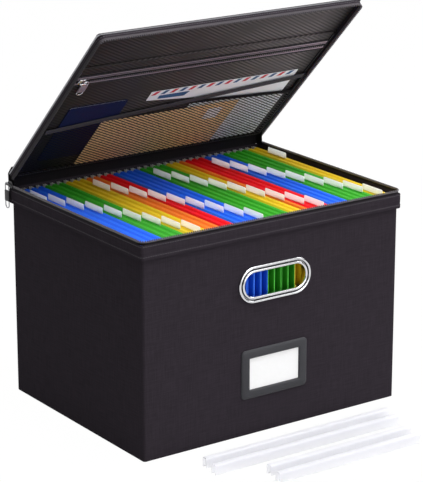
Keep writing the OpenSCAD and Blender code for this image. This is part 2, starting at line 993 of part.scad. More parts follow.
module left_blue_folders() { shade_of_folders(folder_blue, left_first, left_shades, 0); }
module left_green_folders() { shade_of_folders(folder_green, left_first, left_shades, 1); }
module left_yellow_folders() { shade_of_folders(folder_yellow, left_first, left_shades, 2); }
module left_orange_folders() { shade_of_folders(folder_orange, left_first, left_shades, 3); }
module middle_red_folders() { shade_of_folders(folder_red, middle_first, middle_shades, 0); }
module middle_blue_folders() { shade_of_folders(folder_blue, middle_first, middle_shades, 1); }
module middle_green_folders() { shade_of_folders(folder_green, middle_first, middle_shades, 2); }
module middle_yellow_folders() { shade_of_folders(folder_yellow, middle_first, middle_shades, 3); }
module right_orange_folders() { shade_of_folders(folder_orange, right_first, right_shades, 0); }
module right_red_folders() { shade_of_folders(folder_red, right_first, right_shades, 1); }
module right_blue_folders() { shade_of_folders(folder_blue, right_first, right_shades, 2); }
module right_green_folders() { shade_of_folders(folder_green, right_first, right_shades, 3); }
module right_yellow_folders() { shade_of_folders(folder_yellow, right_first, right_shades, 4); }
module left_folder_bars() { folder_bars(left_first, left_count); }
module middle_folder_bars() { folder_bars(middle_first, middle_count); }
module right_folder_bars() { folder_bars(right_first, right_count); }
module left_folder_tabs() { folder_tabs(left_first, left_count); }
module middle_folder_tabs() { folder_tabs(middle_first, middle_count); }
module right_folder_tabs() { folder_tabs(right_first, right_count); }

// Clear slides that clip over the wall tops, left on the floor in front of the box
long_slides_out = [56, 80.5];
long_slides_x = [-1.5, -5.5];
short_slides_out = [120, 144.5];
short_slides_x = [16, 11];

module clear_slide(len) {
    r = 2;
    rotate([90, 0, 90])
        linear_extrude(len, center = true)
            difference() {
                union() {
                    translate([-slide_w / 2, 0])
                        square([slide_w, slide_h - r]);
                    translate([-slide_w / 2 + r, 0])
                        square([slide_w - 2 * r, slide_h]);
                    for (side = [-1, 1])
                        translate([side * (slide_w / 2 - r), slide_h - r])
                            circle(r, $fn = 32);
                }
                translate([-slide_w / 2 + slide_t, -1])
                    square([slide_w - 2 * slide_t, slide_h - slide_t + 1]);
            }
}

module long_slides() {
    color("#eceef2", 0.6)
        for (i = [0, 1])
            translate([long_slides_x[i], -body_d / 2 - long_slides_out[i], 0])
                clear_slide(long_slide);
}

module short_slides() {
    color("#eceef2", 0.6)
        for (i = [0, 1])
            translate([short_slides_x[i], -body_d / 2 - short_slides_out[i], 0])
                clear_slide(short_slide);
}

front_panel();
rear_panel();
left_panel();
right_panel();
base_panel();
rim_band();
rim_zip_tape();
rim_zip_teeth();
hinge_gusset();
front_grommet();
rear_grommet();
grommet_backings();
label_holder();
label_card();
lid_board();
lid_band();
lid_zip_tape();
lid_zip_teeth();
lid_lining();
zip_pocket_strip();
zip_pocket_panel();
pocket_zip_tapes();
pocket_zip_teeth();
open_pocket_mesh();
open_pocket_binding();
pocket_side_strips();
booklet();
airmail_envelope();
kraft_envelope();
loose_papers();
main_slider();
main_pull_loop();
main_pull_sleeve();
pocket_slider();
pocket_pull_loop();
pocket_pull_sleeve();
left_blue_folders();
left_green_folders();
left_yellow_folders();
left_orange_folders();
middle_red_folders();
middle_blue_folders();
middle_green_folders();
middle_yellow_folders();
right_orange_folders();
right_red_folders();
right_blue_folders();
right_green_folders();
right_yellow_folders();
left_folder_bars();
middle_folder_bars();
right_folder_bars();
left_folder_tabs();
middle_folder_tabs();
right_folder_tabs();
long_slides();
short_slides();
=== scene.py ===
import json
import math

import bpy
import numpy as np
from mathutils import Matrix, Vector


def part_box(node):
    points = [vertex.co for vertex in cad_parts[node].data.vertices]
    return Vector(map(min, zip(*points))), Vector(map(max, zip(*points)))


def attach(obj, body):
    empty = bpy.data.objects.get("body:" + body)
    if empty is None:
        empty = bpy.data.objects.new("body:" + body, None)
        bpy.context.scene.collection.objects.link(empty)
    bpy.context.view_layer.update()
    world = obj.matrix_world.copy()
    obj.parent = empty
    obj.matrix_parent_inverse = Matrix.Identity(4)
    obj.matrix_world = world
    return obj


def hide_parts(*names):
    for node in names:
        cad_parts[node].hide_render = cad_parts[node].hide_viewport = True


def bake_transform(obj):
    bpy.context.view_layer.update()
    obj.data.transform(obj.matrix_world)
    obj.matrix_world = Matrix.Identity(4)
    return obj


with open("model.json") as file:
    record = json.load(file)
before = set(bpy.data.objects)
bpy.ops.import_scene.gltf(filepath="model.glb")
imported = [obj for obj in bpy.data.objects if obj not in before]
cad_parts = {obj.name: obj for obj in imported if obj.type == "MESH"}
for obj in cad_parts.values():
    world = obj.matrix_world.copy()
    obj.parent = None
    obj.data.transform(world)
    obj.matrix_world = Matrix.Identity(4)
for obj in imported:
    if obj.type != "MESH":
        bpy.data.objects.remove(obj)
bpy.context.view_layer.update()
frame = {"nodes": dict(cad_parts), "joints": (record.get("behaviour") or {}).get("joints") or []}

bl_info = {
    "name": "Portable file box",
    "version": (1, 0, 0),
    "blender": (4, 5, 0),
    "location": "3D View > Sidebar > File box",
    "description": "Dresses a file box in linen cloth, zips, net, paper, folders and metal",
    "category": "Add Mesh",
}

# Lengths in the shapes are millimetres, and a mesh holds metres
MM = 0.001


# The frame's own sizes

def box_mm(node):
    """Lowest and highest corner of a node of the frame, in mm."""
    low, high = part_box(node)
    return np.array(low) / MM, np.array(high) / MM


JOINTS = {joint["name"]: joint for joint in frame["joints"]}
HINGE = np.array(JOINTS["lid_hinge"]["pos_m"]) / MM
LID_OPEN = -math.radians(JOINTS["lid_hinge"]["range_deg"][0])
# How far the outer faces of the front and rear walls stand from the middle
WALL_FACE = -box_mm("front_panel")[0][1]
# Width of the ring round a hand hole, from the hole to its outer edge
RING_WIDE = 8.6
# Rows for a flat shape that stands and faces the front or the left
FACING_FRONT = [(1, 0, 0), (0, 0, 1), (0, -1, 0)]
FACING_LEFT = [(0, -1, 0), (0, 0, 1), (-1, 0, 0)]


def turned(points, angle):
    """Points turned about the hinge line: with y and z measured from it,
    y' = y cos a + z sin a and z' = z cos a - y sin a."""
    y, z = points[..., 1] - HINGE[1], points[..., 2] - HINGE[2]
    out = np.array(points, float)
    out[..., 1] = HINGE[1] + y * math.cos(angle) + z * math.sin(angle)
    out[..., 2] = HINGE[2] + z * math.cos(angle) - y * math.sin(angle)
    return out


def node_points(node):
    """Points of a node of the frame, in mm."""
    mesh = frame["nodes"][node].data
    points = np.empty(len(mesh.vertices) * 3)
    mesh.vertices.foreach_get("co", points)
    return points.reshape(-1, 3) / MM


def shut_points(node):
    """Points of a node on the lid, in mm, with the lid turned shut."""
    return turned(node_points(node), -LID_OPEN)


def shut_box(node):
    """Lowest and highest corner of a node on the lid, in mm, with the lid turned shut."""
    shut = shut_points(node)
    return shut.min(axis=0), shut.max(axis=0)


# Colours

def linear(code):
    """Linear red, green and blue of an sRGB hex code: v / 12.92 up to 0.04045, and
    ((v + 0.055) / 1.055) ** 2.4 above it."""
    values = [int(code[k:k + 2], 16) / 255 for k in (1, 3, 5)]
    return tuple(v / 12.92 if v <= 0.04045 else ((v + 0.055) / 1.055) ** 2.4 for v in values)


def colour(code, name, description):
    """Colour setting with the hex code as its default."""
    return bpy.props.FloatVectorProperty(
        name=name, description=description, default=linear(code), size=3,
        subtype="COLOR", min=0, max=1)


def length(mm, name, description):
    """Length setting with a default in mm."""
    return bpy.props.FloatProperty(
        name=name, description=description, default=mm * MM, min=0.00005, max=1,
        precision=5, unit="LENGTH")


class FileBoxSizes(bpy.types.PropertyGroup):
    """Sizes of the cloth, stitches, zips and net"""
    cloth_gap: length(0.25, "Cloth gap", "Space between a board and the cloth on it")
    slub_width: length(1.5, "Slub width", "Width of the thick threads in the linen")
    slub_length: length(26, "Slub length", "Length of the thick threads in the linen")
    thread: length(0.9, "Thread spacing", "Distance between threads of the linen")
    stitch: length(2.6, "Stitch length", "Length of one stitch")
    stitch_pitch: length(3.6, "Stitch spacing", "Distance from one stitch to the next")
    tooth_pitch: length(3.2, "Tooth spacing", "Distance between teeth of a zip")
    net_pitch: length(4.3, "Net spacing", "Distance between cords of the net")
    net_cord: length(1.9, "Net cord width", "Width of the main cords of the net")
    hatch: length(4.6, "Lining rib spacing", "Distance between the lining's ribs")
    card: length(0.45, "Folder card", "Thickness of the folder card")
    wave: length(0.4, "Folder wave", "How far a folder's leaves stray from flat")
    belly: length(2.7, "Folder belly", "How far a folder's leaves spread below its bars")


class FileBoxColours(bpy.types.PropertyGroup):
    """Colours of the cloth, zips, papers, folders and metal"""
    linen: colour("#302b31", "Linen", "Cloth of the walls, rim and lid")
    lining: colour("#2f2b2c", "Lining", "Cloth inside the lid and the box")
    tape: colour("#1d1b1e", "Zip tape", "Tape and teeth of the long zip")
    plum: colour("#7d7079", "Plum tape", "Tapes and teeth that show inside the lid")
    piping: colour("#707074", "Piping", "Thin cord sewn into the lid's edge")
    binding: colour("#423f44", "Binding", "Binding on the net's mouth")
    # Near black: the hinge cloth is painted this dark for the shade under the lid, and the seam
    # strips partly for the recess shade at the lid's edge
    dark: colour("#1a181b", "Dark cloth", "Seam strips in the lid and the cloth of the hinge")
    teeth: colour("#565256", "Teeth", "Teeth of the long zip")
    edge: colour("#4c484c", "Edge tape", "Zip tape under the lid's edge")
    net: colour("#0c0b0d", "Net", "Cords of the net")
    booklet: colour("#0c1436", "Booklet", "Cover of the booklet")
    kraft: colour("#e6c395", "Kraft paper", "The brown envelope")
    paper: colour("#e9eaf0", "White paper", "Papers and the striped envelope")
    blue: colour("#2474ff", "Blue card", "Blue folders")
    green: colour("#3db42a", "Green card", "Green folders")
    yellow: colour("#f0cf22", "Yellow card", "Yellow folders")
    orange: colour("#ff8428", "Orange card", "Orange folders")
    red: colour("#f80a20", "Red card", "Red folders")
    tab: colour("#f6fbf6", "Tab", "Tabs on the folders")
    steel: colour("#d9d9dc", "Steel", "Rings of the hand holes, sliders and pulls")
    wire: colour("#8f8f94", "Wire", "Wire of the long zip's pull")
    print_red: colour("#c8203c", "Red stripes", "Red stripes of the striped envelope")
    print_blue: colour("#205080", "Blue stripes", "Blue stripes of the striped envelope")
    holder: colour("#343438", "Label holder", "Paint of the label holder")
    label: colour("#f9f9f9", "Label", "Card in the label holder")
    bar: colour("#f4f2ee", "Folder bars", "Coating of the folders' bars")
    slides: colour("#f8f8fb", "Clear slides", "Plastic of the loose slides")


def mm(name):
    """Size setting in mm."""
    return getattr(bpy.context.scene.file_box_sizes, name) / MM


def tint(name):
    """Colour setting as linear red, green and blue."""
    return tuple(getattr(bpy.context.scene.file_box_colours, name))


# Shapes: a shape is (points in mm, [(corners of faces, cloth lengths of those corners)])

def along(line, closed=False):
    """Length along a line of points up to each of them, with one more where it closes."""
    if closed:
        line = np.concatenate([line, line[:1]])
    return np.concatenate([[0], np.cumsum(np.linalg.norm(np.diff(line, axis=0), axis=1))])


def grid(points, close_i=False, close_j=False, lengths=None):
    """Shape of a grid of points P[i, j]. The cell (i, j) has the corners (i, j), (i + 1, j),
    (i + 1, j + 1) and (i, j + 1), so that it faces along dP/di x dP/dj. lengths are the
    cloth lengths of the lines i and j."""
    n, m = points.shape[:2]
    u, v = lengths or (along(points[:, 0], close_i), along(points[0], close_j))
    i, j = np.meshgrid(np.arange(n - 1 + close_i), np.arange(m - 1 + close_j), indexing="ij")
    i = i.reshape(-1, 1) + np.array([0, 1, 1, 0])
    j = j.reshape(-1, 1) + np.array([0, 0, 1, 1])
    return points.reshape(-1, 3), [((i % n) * m + j % m, np.stack([u[i], v[j]], axis=-1))]


def with_ends(shape, n, m):
    """A grid shape of n rings of m points with a flat face on its first and last ring."""
    points, faces = shape
    first, last = np.arange(m)[None], (np.arange(m)[::-1] + (n - 1) * m)[None]
    return points, faces + [(ring, points[ring][..., :2]) for ring in (first, last)]


def join(*shapes):
    """Several shapes as one."""
    faces, start = [], 0
    for points, parts in shapes:
        faces += [(corners + start, lengths) for corners, lengths in parts]
        start += len(points)
    return np.concatenate([points for points, parts in shapes]), faces


def moved(shape, rows=np.eye(3), origin=(0, 0, 0)):
    """Shape whose own X, Y and Z run along three rows, from an origin."""
    return shape[0] @ np.array(rows, float) + np.array(origin, float), shape[1]


def on_lid(shape):
    """Shape drawn on the shut lid, turned to where the lid stands."""
    return turned(shape[0], LID_OPEN), shape[1]


def copies(shape, rows, origins):
    """Shape repeated at many places: P @ rows[k] + origins[k]."""
    points, faces = shape
    placed = points @ rows + origins[:, None]
    shift = (np.arange(len(origins)) * len(points))[:, None, None]
    return placed.reshape(-1, 3), [
        ((corners[None] + shift).reshape(-1, corners.shape[1]),
         np.tile(lengths, (len(origins), 1, 1))) for corners, lengths in faces]


def rounded(corners, closed=True, step=1000.0, bend=0.2):
    """Line through corners (x, y, r). A corner is an arc of radius r that starts
    r tan(turn / 2) before it, P = centre + r N(a), and a side is cut into equal steps.
    Gives the points and their normals to the right of the way along the line."""
    corners = np.array(corners, float)
    xy, radius = corners[:, :2], corners[:, 2]
    ahead = np.roll(xy, -1, axis=0) - xy
    ahead /= np.linalg.norm(ahead, axis=1)[:, None]
    if not closed:
        ahead[-1] = ahead[-2]
    arcs = []
    for k, r in enumerate(radius):
        a, b = ahead[k - 1] if closed or k else ahead[0], ahead[k]
        turn = math.atan2(a[0] * b[1] - a[1] * b[0], a @ b)
        side = math.copysign(1, turn)
        angle = math.atan2(-a[0], a[1]) + np.linspace(0, turn, 1 + math.ceil(abs(turn) / bend))
        normal = np.stack([np.cos(angle), np.sin(angle)], axis=1)
        centre = xy[k] - a * r * abs(math.tan(turn / 2)) - side * r * normal[0]
        arcs.append((centre + side * r * normal, normal))
    points, normals = [], []
    for k, (arc, normal) in enumerate(arcs):
        points.append(arc)
        normals.append(normal)
        if closed or k < len(arcs) - 1:
            side = arcs[(k + 1) % len(arcs)][0][0] - arc[-1]
            cuts = max(1, math.ceil(np.linalg.norm(side) / step - 0.001))
            points.append(arc[-1] + side * (np.arange(1, cuts) / cuts)[:, None])
            normals.append(np.repeat(normal[-1:], cuts - 1, axis=0))
    return np.concatenate(points), np.concatenate(normals)


def rectangle(x0, x1, y0, y1, front, rear=None):
    """Corners of a rectangle with a radius for its front corners and one for its rear."""
    rear = front if rear is None else rear
    return [(x0, y0, front), (x1, y0, front), (x1, y1, rear), (x0, y1, rear)]


def three_sides(x0, x1, y0, y1, front):
    """Corners of a line down the left side, along the front and up the right side."""
    return [(x0, y1, 0), (x0, y0, front), (x1, y0, front), (x1, y1, 0)]


def sweep(line, profile, closed=True):
    """Profile of (out, up) carried along a line: P = point + out * normal, at height up.
    The profile is a loop that rises on its outer side; an open line gets end faces."""
    points, normals = line
    profile = np.array(profile, float)
    out = np.empty((len(points), len(profile), 3))
    out[..., :2] = points[:, None] + normals[:, None] * profile[:, :1]
    out[..., 2] = profile[:, 1]
    shape = grid(out, closed, True)
    return shape if closed else with_ends(shape, *out.shape[:2])


def slab(line, rings):
    """Plate inside a closed line: rings (inset, height) from its underside round its edge
    to its top, P = point - inset * normal, with a flat face on the first and last."""
    points, normals = line
    out = np.empty((len(rings), len(points), 3))
    for ring, (inset, height) in zip(out, rings):
        ring[:, :2] = points - inset * normals
        ring[:, 2] = height
    n, m = out.shape[:2]
    placed, faces = grid(out.transpose(1, 0, 2), True, False)
    first, last = (np.arange(m) * n)[::-1][None], (np.arange(m) * n + n - 1)[None]
    return placed, faces + [(ring, placed[ring][..., :2]) for ring in (first, last)]


def soft_rings(z0, z1, edge):
    """Rings of a plate whose edge is a half round of radius edge at each face."""
    turn = np.radians([0, 30, 60, 90])
    low = [(edge * (1 - math.sin(a)), z0 + edge * (1 - math.cos(a))) for a in turn]
    return low + [(e, z0 + z1 - z) for e, z in low[::-1]]


def tube(line, side, radius, closed=False, sides=12):
    """Bar along a flat line: P = point + r (cos a * side + sin a * side x tangent), where
    side is square to the line's plane and r may be a pair for an oval bar."""
    tangent = np.roll(line, -1, axis=0) - np.roll(line, 1, axis=0) if closed \
        else np.gradient(line, axis=0)
    tangent /= np.linalg.norm(tangent, axis=1)[:, None]
    across = np.cross(np.array(side, float), tangent)
    angle = np.linspace(0, 2 * math.pi, sides, endpoint=False)
    r1, r2 = (radius, radius) if np.isscalar(radius) else radius
    points = line[:, None] + r1 * np.cos(angle)[None, :, None] * np.array(side, float) \
        + r2 * np.sin(angle)[None, :, None] * across[:, None]
    shape = grid(points, closed, True)
    return shape if closed else with_ends(shape, *points.shape[:2])


def flat_line(corners, closed=False, step=1000.0, bend=0.2):
    """Rounded line in a plane as points in space, at height 0."""
    points = rounded(corners, closed, step, bend)[0]
    return np.column_stack([points, np.zeros(len(points))])


def straight(start, end, step=1000.0):
    """Straight line from one place (x, y) to another, as rounded gives it."""
    return rounded([(*start, 0), (*end, 0)], False, step)


def plate(corners, rings, step=1000.0):
    """Slab inside a closed line through corners (x, y, r)."""
    return slab(rounded(corners, step=step), rings)


def rod(x0, x1, y, z, radii, sides=12):
    """Straight oval bar along X: radii are its half height and its half width."""
    return tube(np.array([(x0, y, z), (x1, y, z)], float), (0, 0, 1), radii, sides=sides)


def bead(long, wide, high, sides=6):
    """Small block with soft ends along X: rings of an n-sided oval, shrunk at both ends."""
    angle = (np.arange(sides) + 0.5) * 2 * math.pi / sides
    at, scale = np.array([-0.5, -0.3, 0.3, 0.5]) * long, np.array([0.55, 1, 1, 0.55])
    grow = 1 / math.cos(math.pi / sides)
    points = np.empty((4, sides, 3))
    points[..., 0] = at[:, None]
    points[..., 1] = scale[:, None] * np.cos(angle) * wide / 2 * grow
    points[..., 2] = scale[:, None] * np.sin(angle) * high / 2 * grow
    return with_ends(grid(points[:, ::-1], False, True), 4, sides)


def spread(line, pitch, closed=True):
    """Places at equal steps along a line: origins (x, y) and rows for a shape whose X
    follows the line and whose Y points to its left."""
    points, normals = line
    if closed:
        points, normals = (np.concatenate([values, values[:1]]) for values in line)
    at = along(points)
    count = max(1, round(at[-1] / pitch))
    places = (np.arange(count) + 0.5) * at[-1] / count
    pick = [np.stack([np.interp(places, at, values[:, k]) for k in (0, 1)], axis=1)
            for values in (points, normals)]
    out = pick[1] / np.linalg.norm(pick[1], axis=1)[:, None]
    rows = np.zeros((count, 3, 3))
    rows[:, 0, 0], rows[:, 0, 1] = -out[:, 1], out[:, 0]
    rows[:, 1, :2] = -out
    rows[:, 2, 2] = 1
    return pick[0], rows


def row_of(shape, line, pitch, out, up, closed=True):
    """Shape repeated along a line, moved out from it and to a height."""
    origins, rows = spread(line, pitch, closed)
    places = np.column_stack([origins, np.full(len(origins), float(up))])
    places -= rows[:, 1] * out
    return copies(shape, rows, places)


def stitches(line, out, up, closed=True, standing=False):
    """Row of stitches, on a standing cloth or on a flat one."""
    size = (0.45, 0.7) if standing else (0.7, 0.45)
    return row_of(bead(mm("stitch"), *size), line, mm("stitch_pitch"), out, up, closed)


def ribbon(corners, thickness, step=1000.0, bend=0.4):
    """Outline of a strip bent along a line: the line moved out by half the thickness to
    its right, and back on its left."""
    points, normals = rounded(corners, False, step, bend)
    half = normals * thickness / 2
    return np.concatenate([points + half, (points - half)[::-1]])


def bent_strip(outline, stations, axes):
    """A ribbon's outline drawn out along a third axis, with its two ends closed by cells
    across the strip. axes says where outline and station go, as column numbers."""
    n, m = len(stations), len(outline)
    points = np.empty((n, m, 3))
    points[..., axes[0]], points[..., axes[1]] = outline[:, 0], outline[:, 1]
    points[..., axes[2]] = stations[:, None]
    placed, faces = grid(points, False, True)
    k = np.arange(m // 2 - 1)
    cell = np.stack([k, k + 1, m - 2 - k, m - 1 - k], axis=1)
    ends = [cell, cell[:, ::-1] + (n - 1) * m]
    return placed, faces + [(end, placed[end][..., :2]) for end in ends]


# Materials

def node(tree, kind, sockets=None, feeds=None, **settings):
    """Adds one node: settings are its own, sockets are values or links by input, and feeds
    is the input that its first output goes to."""
    made = tree.nodes.new("ShaderNode" + kind)
    for key, value in settings.items():
        setattr(made, key, value)
    for key, value in (sockets or {}).items():
        if isinstance(value, bpy.types.NodeSocket):
            tree.links.new(value, made.inputs[key])
        else:
            made.inputs[key].default_value = value
    if feeds is not None:
        tree.links.new(made.outputs[0], feeds)
    return made


def surface(name, rgb, roughness, **sockets):
    """Material with one Principled shader and constant values on its sockets."""
    made = bpy.data.materials.new(name)
    made.use_nodes = True
    shader = made.node_tree.nodes["Principled BSDF"]
    shader.inputs["Base Color"].default_value = (*rgb, 1)
    shader.inputs["Roughness"].default_value = roughness
    for key, value in sockets.items():
        shader.inputs[key.replace("_", " ")].default_value = value
    return made, made.node_tree, shader


def spaced(tree, coordinates, size_mm, turn=0.0):
    """Coordinates in units of a size in mm, which is one number or one for each axis, and
    turned about Z. Cloth coordinates are the cloth's lengths and have no third axis."""
    if coordinates == "cloth":
        source = node(tree, "UVMap", uv_map="cloth").outputs[0]
    else:
        source = node(tree, "TexCoord").outputs["Object"]
    scale = tuple(1 / (np.ones(3) * size_mm * MM))
    turned_by = {"Vector": source, "Scale": scale, "Rotation": (0, 0, turn)}
    return node(tree, "Mapping", turned_by).outputs[0]


def spots(tree, coordinates, size_mm, detail=2.0):
    """Soft random spots of a size in mm, from 0 to 1."""
    vector = spaced(tree, coordinates, size_mm)
    return node(tree, "TexNoise",
                {"Vector": vector, "Scale": 1.0, "Detail": detail}).outputs["Fac"]


def ribs(tree, coordinates, size_mm, turn=0.0, way="X"):
    """Sine ribs from 0 to 1, one in each size in mm: a wave texture's own period is pi / 10
    of a unit."""
    vector = spaced(tree, coordinates, size_mm, turn)
    return node(tree, "TexWave", {"Vector": vector, "Scale": math.pi / 10},
                bands_direction=way).outputs["Fac"]


def mean_of(tree, *factors):
    """Mean of several factors."""
    total = factors[0]
    for factor in factors[1:]:
        total = node(tree, "Math", {0: total, 1: factor}, operation="ADD").outputs[0]
    return node(tree, "Math", {0: total, 1: 1 / len(factors)}, operation="MULTIPLY").outputs[0]


def paint_over(tree, shader, rgb, factor=None, low=1.0, high=1.0, runs=()):
    """Base colour of a shader: from low to high times rgb as factor goes from 0 to 1, and
    then times one number for each run (x0, x1, first, last), which goes from first to last
    as X goes from x0 to x1 mm."""
    shown = rgb
    if factor is not None:
        ends = [(*(min(1, c * scale) for c in rgb), 1) for scale in (low, high)]
        shown = node(tree, "Mix", {0: factor, 6: ends[0], 7: ends[1]},
                     data_type="RGBA").outputs[2]
    if runs:
        x = node(tree, "SeparateXYZ", {0: node(tree, "TexCoord").outputs["Object"]}).outputs["X"]
    for x0, x1, first, last in runs:
        part = node(tree, "MapRange", {"Value": x, "From Min": x0 * MM, "From Max": x1 * MM,
                                       "To Min": first, "To Max": last}).outputs[0]
        shown = node(tree, "VectorMath", {0: shown, "Scale": part}, operation="SCALE").outputs[0]
    tree.links.new(shown, shader.inputs["Base Color"])


def painted_side_light(left, right):
    """Runs along X that scale the outer 5 mm of the lid's edge at its left and its right: painted
    light and painted shade, which the lamps alone don't give."""
    return (-206, -201, left, 1.0), (201, 206, 1.0, right)


def woven(name, dye, coordinates, low=0.82, high=1.16):
    """Plain-woven cloth with slubs, the thick stretches of thread that give linen its
    cross-hatched look. The slubs are drawn wider than the real 0.5 mm, to show from afar."""
    made, tree, shader = surface(name, tint(dye), 0.9, Specular_IOR_Level=0.04)
    wide, long = mm("slub_width"), mm("slub_length")
    warp, weft = {"cloth": ((wide, long, 1), (long, wide, 1)),
                  "object": ((wide, wide, long), (long, long, wide))}[coordinates]
    mixed = mean_of(tree, spots(tree, coordinates, warp), spots(tree, coordinates, weft))
    slubs = node(tree, "MapRange", {"Value": mixed, "From Min": 0.38, "From Max": 0.62}).outputs[0]
    threads = [ribs(tree, coordinates, mm("thread"), way=way) for way in "XY"]
    cloudy = mean_of(tree, slubs, slubs, slubs, spots(tree, coordinates, 60))
    paint_over(tree, shader, tint(dye), cloudy, low, high)
    node(tree, "Bump", {"Height": mean_of(tree, slubs, *threads), "Distance": 0.12 * MM},
         shader.inputs["Normal"])
    return made


def lining():
    """Lining twill: finer and flatter than the cover, with faint diagonal ribs. Painted light
    makes it paler to the right, and painted shade takes it near to black at the right seam."""
    made, tree, shader = surface("lining twill", tint("lining"), 0.5, Specular_IOR_Level=0.1)
    twill = ribs(tree, "cloth", mm("hatch"), math.radians(57.6))
    grain = spots(tree, "cloth", 1.2)
    patches = node(tree, "MapRange", {"Value": spots(tree, "cloth", (60, 40, 1), 1),
                                      "From Min": 0.3, "From Max": 0.6}).outputs[0]
    hatch = node(tree, "Mix", {0: patches, 2: 0.35, 3: twill}).outputs[0]
    # The runs along X are painted light to the right and painted shade at the right seam
    paint_over(tree, shader, tint("lining"), mean_of(tree, hatch, hatch, hatch, grain), 0.2, 2.35,
               ((-190, 140, 0.6, 2.4), (160, 197, 1.0, 0.2)))
    node(tree, "Bump", {"Height": mean_of(tree, twill, grain), "Distance": 0.15 * MM},
         shader.inputs["Normal"])
    return made


def thread():
    """Sewing thread: twisted polyester, a little lighter than the cloth. The twist is drawn
    coarser than the real one, to show."""
    made, tree, shader = surface("polyester thread", tint("binding"), 0.6)
    paint_over(tree, shader, tint("binding"), ribs(tree, "object", 0.8), 0.6, 1.1)
    return made


def ribbed(name, dye, pitch, roughness=0.7, runs=()):
    """Woven tape with ribs across it and faint grain, with next to no sheen. The ribs are
    drawn coarser than the real ones, to show from afar."""
    made, tree, shader = surface(name, tint(dye), roughness, Specular_IOR_Level=0.07)
    across = ribs(tree, "cloth", pitch)
    mixed = mean_of(tree, across, spots(tree, "cloth", 2))
    paint_over(tree, shader, tint(dye), mixed, 0.7, 1.3, runs)
    node(tree, "Bump", {"Height": across, "Distance": 0.15 * MM}, shader.inputs["Normal"])
    return made


def plastic(name, dye, roughness):
    """Moulded plastic: an even colour with faint flow marks."""
    made, tree, shader = surface(name, tint(dye), roughness, IOR=1.5)
    marks = spots(tree, "object", 1.5)
    paint_over(tree, shader, tint(dye), marks, 0.85, 1.15)
    node(tree, "Bump", {"Height": marks, "Distance": 0.03 * MM}, shader.inputs["Normal"])
    return made


def lid_teeth():
    """Teeth on the lid: moulded acetal as on the rim, with painted shade down the left side
    and painted light down the right."""
    made, tree, shader = surface("acetal teeth on the lid", tint("teeth"), 0.3,
                                 Specular_IOR_Level=0.05)
    paint_over(tree, shader, tint("teeth"), runs=painted_side_light(0.1, 4.0))
    return made


def piping():
    """Piping: a vinyl cord whose rounded back catches a bright line of light. Painted light
    makes it paler down both sides of the lid than along the front."""
    made, tree, shader = surface("vinyl piping", tint("piping"), 0.3, IOR=1.5)
    paint_over(tree, shader, tint("piping"), runs=painted_side_light(3.6, 3.6))
    return made


def net():
    """Nylon net: knitted cords, black and faintly glossy. The knit is drawn coarser than the
    real one, to show."""
    made, tree, shader = surface("nylon net", tint("net"), 0.5, Specular_IOR_Level=0.2)
    knit = ribs(tree, "object", 1.1)
    paint_over(tree, shader, tint("net"), knit, 0.6, 1.6)
    node(tree, "Bump", {"Height": knit, "Distance": 0.1 * MM}, shader.inputs["Normal"])
    return made


def steel():
    """Polished and nickel-plated steel, with a faint haze from handling, and painted shade
    that darkens narrow grooves."""
    made, tree, shader = surface("nickel-plated steel", tint("steel"), 0.16, Metallic=1.0)
    depth = node(tree, "AmbientOcclusion", {"Distance": 3 * MM}, samples=8).outputs["AO"]
    # Painted shade: the colour falls to 8 % of the steel's where the occlusion is deep
    painted_groove_shade = node(tree, "MapRange", {"Value": depth, "From Min": 0.25, "From Max": 0.8})
    paint_over(tree, shader, tint("steel"), painted_groove_shade.outputs[0], 0.08, 1.0)
    node(tree, "MapRange", {"Value": spots(tree, "object", 9, 4), "To Min": 0.06, "To Max": 0.2},
         shader.inputs["Roughness"])
    node(tree, "Bump", {"Height": spots(tree, "object", 0.6), "Distance": 0.004 * MM},
         shader.inputs["Normal"])
    return made


def wire():
    """Pull of the long zip: drawn steel wire, duller than the plated parts."""
    made, tree, shader = surface("drawn steel wire", tint("wire"), 0.3, Metallic=1.0)
    node(tree, "Bump", {"Height": spots(tree, "object", (0.5, 0.5, 3)), "Distance": 0.01 * MM},
         shader.inputs["Normal"])
    return made


def paint():
    """Powder-coated steel of the label holder: dark grey with a fine orange peel."""
    made, tree, shader = surface("powder-coated steel", tint("holder"), 0.45,
                                 Specular_IOR_Level=0.25)
    paint_over(tree, shader, tint("holder"), spots(tree, "object", 25), 0.85, 1.15)
    node(tree, "Bump", {"Height": spots(tree, "object", 0.9), "Distance": 0.03 * MM},
         shader.inputs["Normal"])
    return made


def fibrous(name, dye, roughness=0.8, low=0.94, high=1.04, coarse=6.0):
    """Paper or card: pressed fibres as fine specks and wider clouds. The specks are drawn
    coarser than real fibres, which are too fine to show."""
    made, tree, shader = surface(name, tint(dye), roughness)
    specks = spots(tree, "object", 0.7)
    mixed = mean_of(tree, specks, spots(tree, "object", coarse, 4))
    paint_over(tree, shader, tint(dye), mixed, low, high)
    node(tree, "Bump", {"Height": specks, "Distance": 0.03 * MM}, shader.inputs["Normal"])
    return made


def leatherette():
    """Booklet cover: embossed leatherette, dark blue with a fine grain."""
    made, tree, shader = surface("leatherette", tint("booklet"), 0.6, Specular_IOR_Level=0.15)
    cells = node(tree, "TexVoronoi", {"Vector": spaced(tree, "object", 1.1), "Scale": 1.0})
    depth = cells.outputs["Distance"]
    paint_over(tree, shader, tint("booklet"), depth, 0.7, 1.6)
    node(tree, "Bump", {"Height": depth, "Distance": 0.08 * MM}, shader.inputs["Normal"])
    return made


def clear_plastic():
    """Clear slides: extruded polypropylene, milky along its edges."""
    made, tree, shader = surface("milky polypropylene", tint("slides"), 0.35, IOR=1.11,
                                 Transmission_Weight=0.77)
    lines = ribs(tree, "object", (1000, 1.5, 1.5), way="Y")
    node(tree, "Bump", {"Height": lines, "Distance": 0.02 * MM}, shader.inputs["Normal"])
    return made


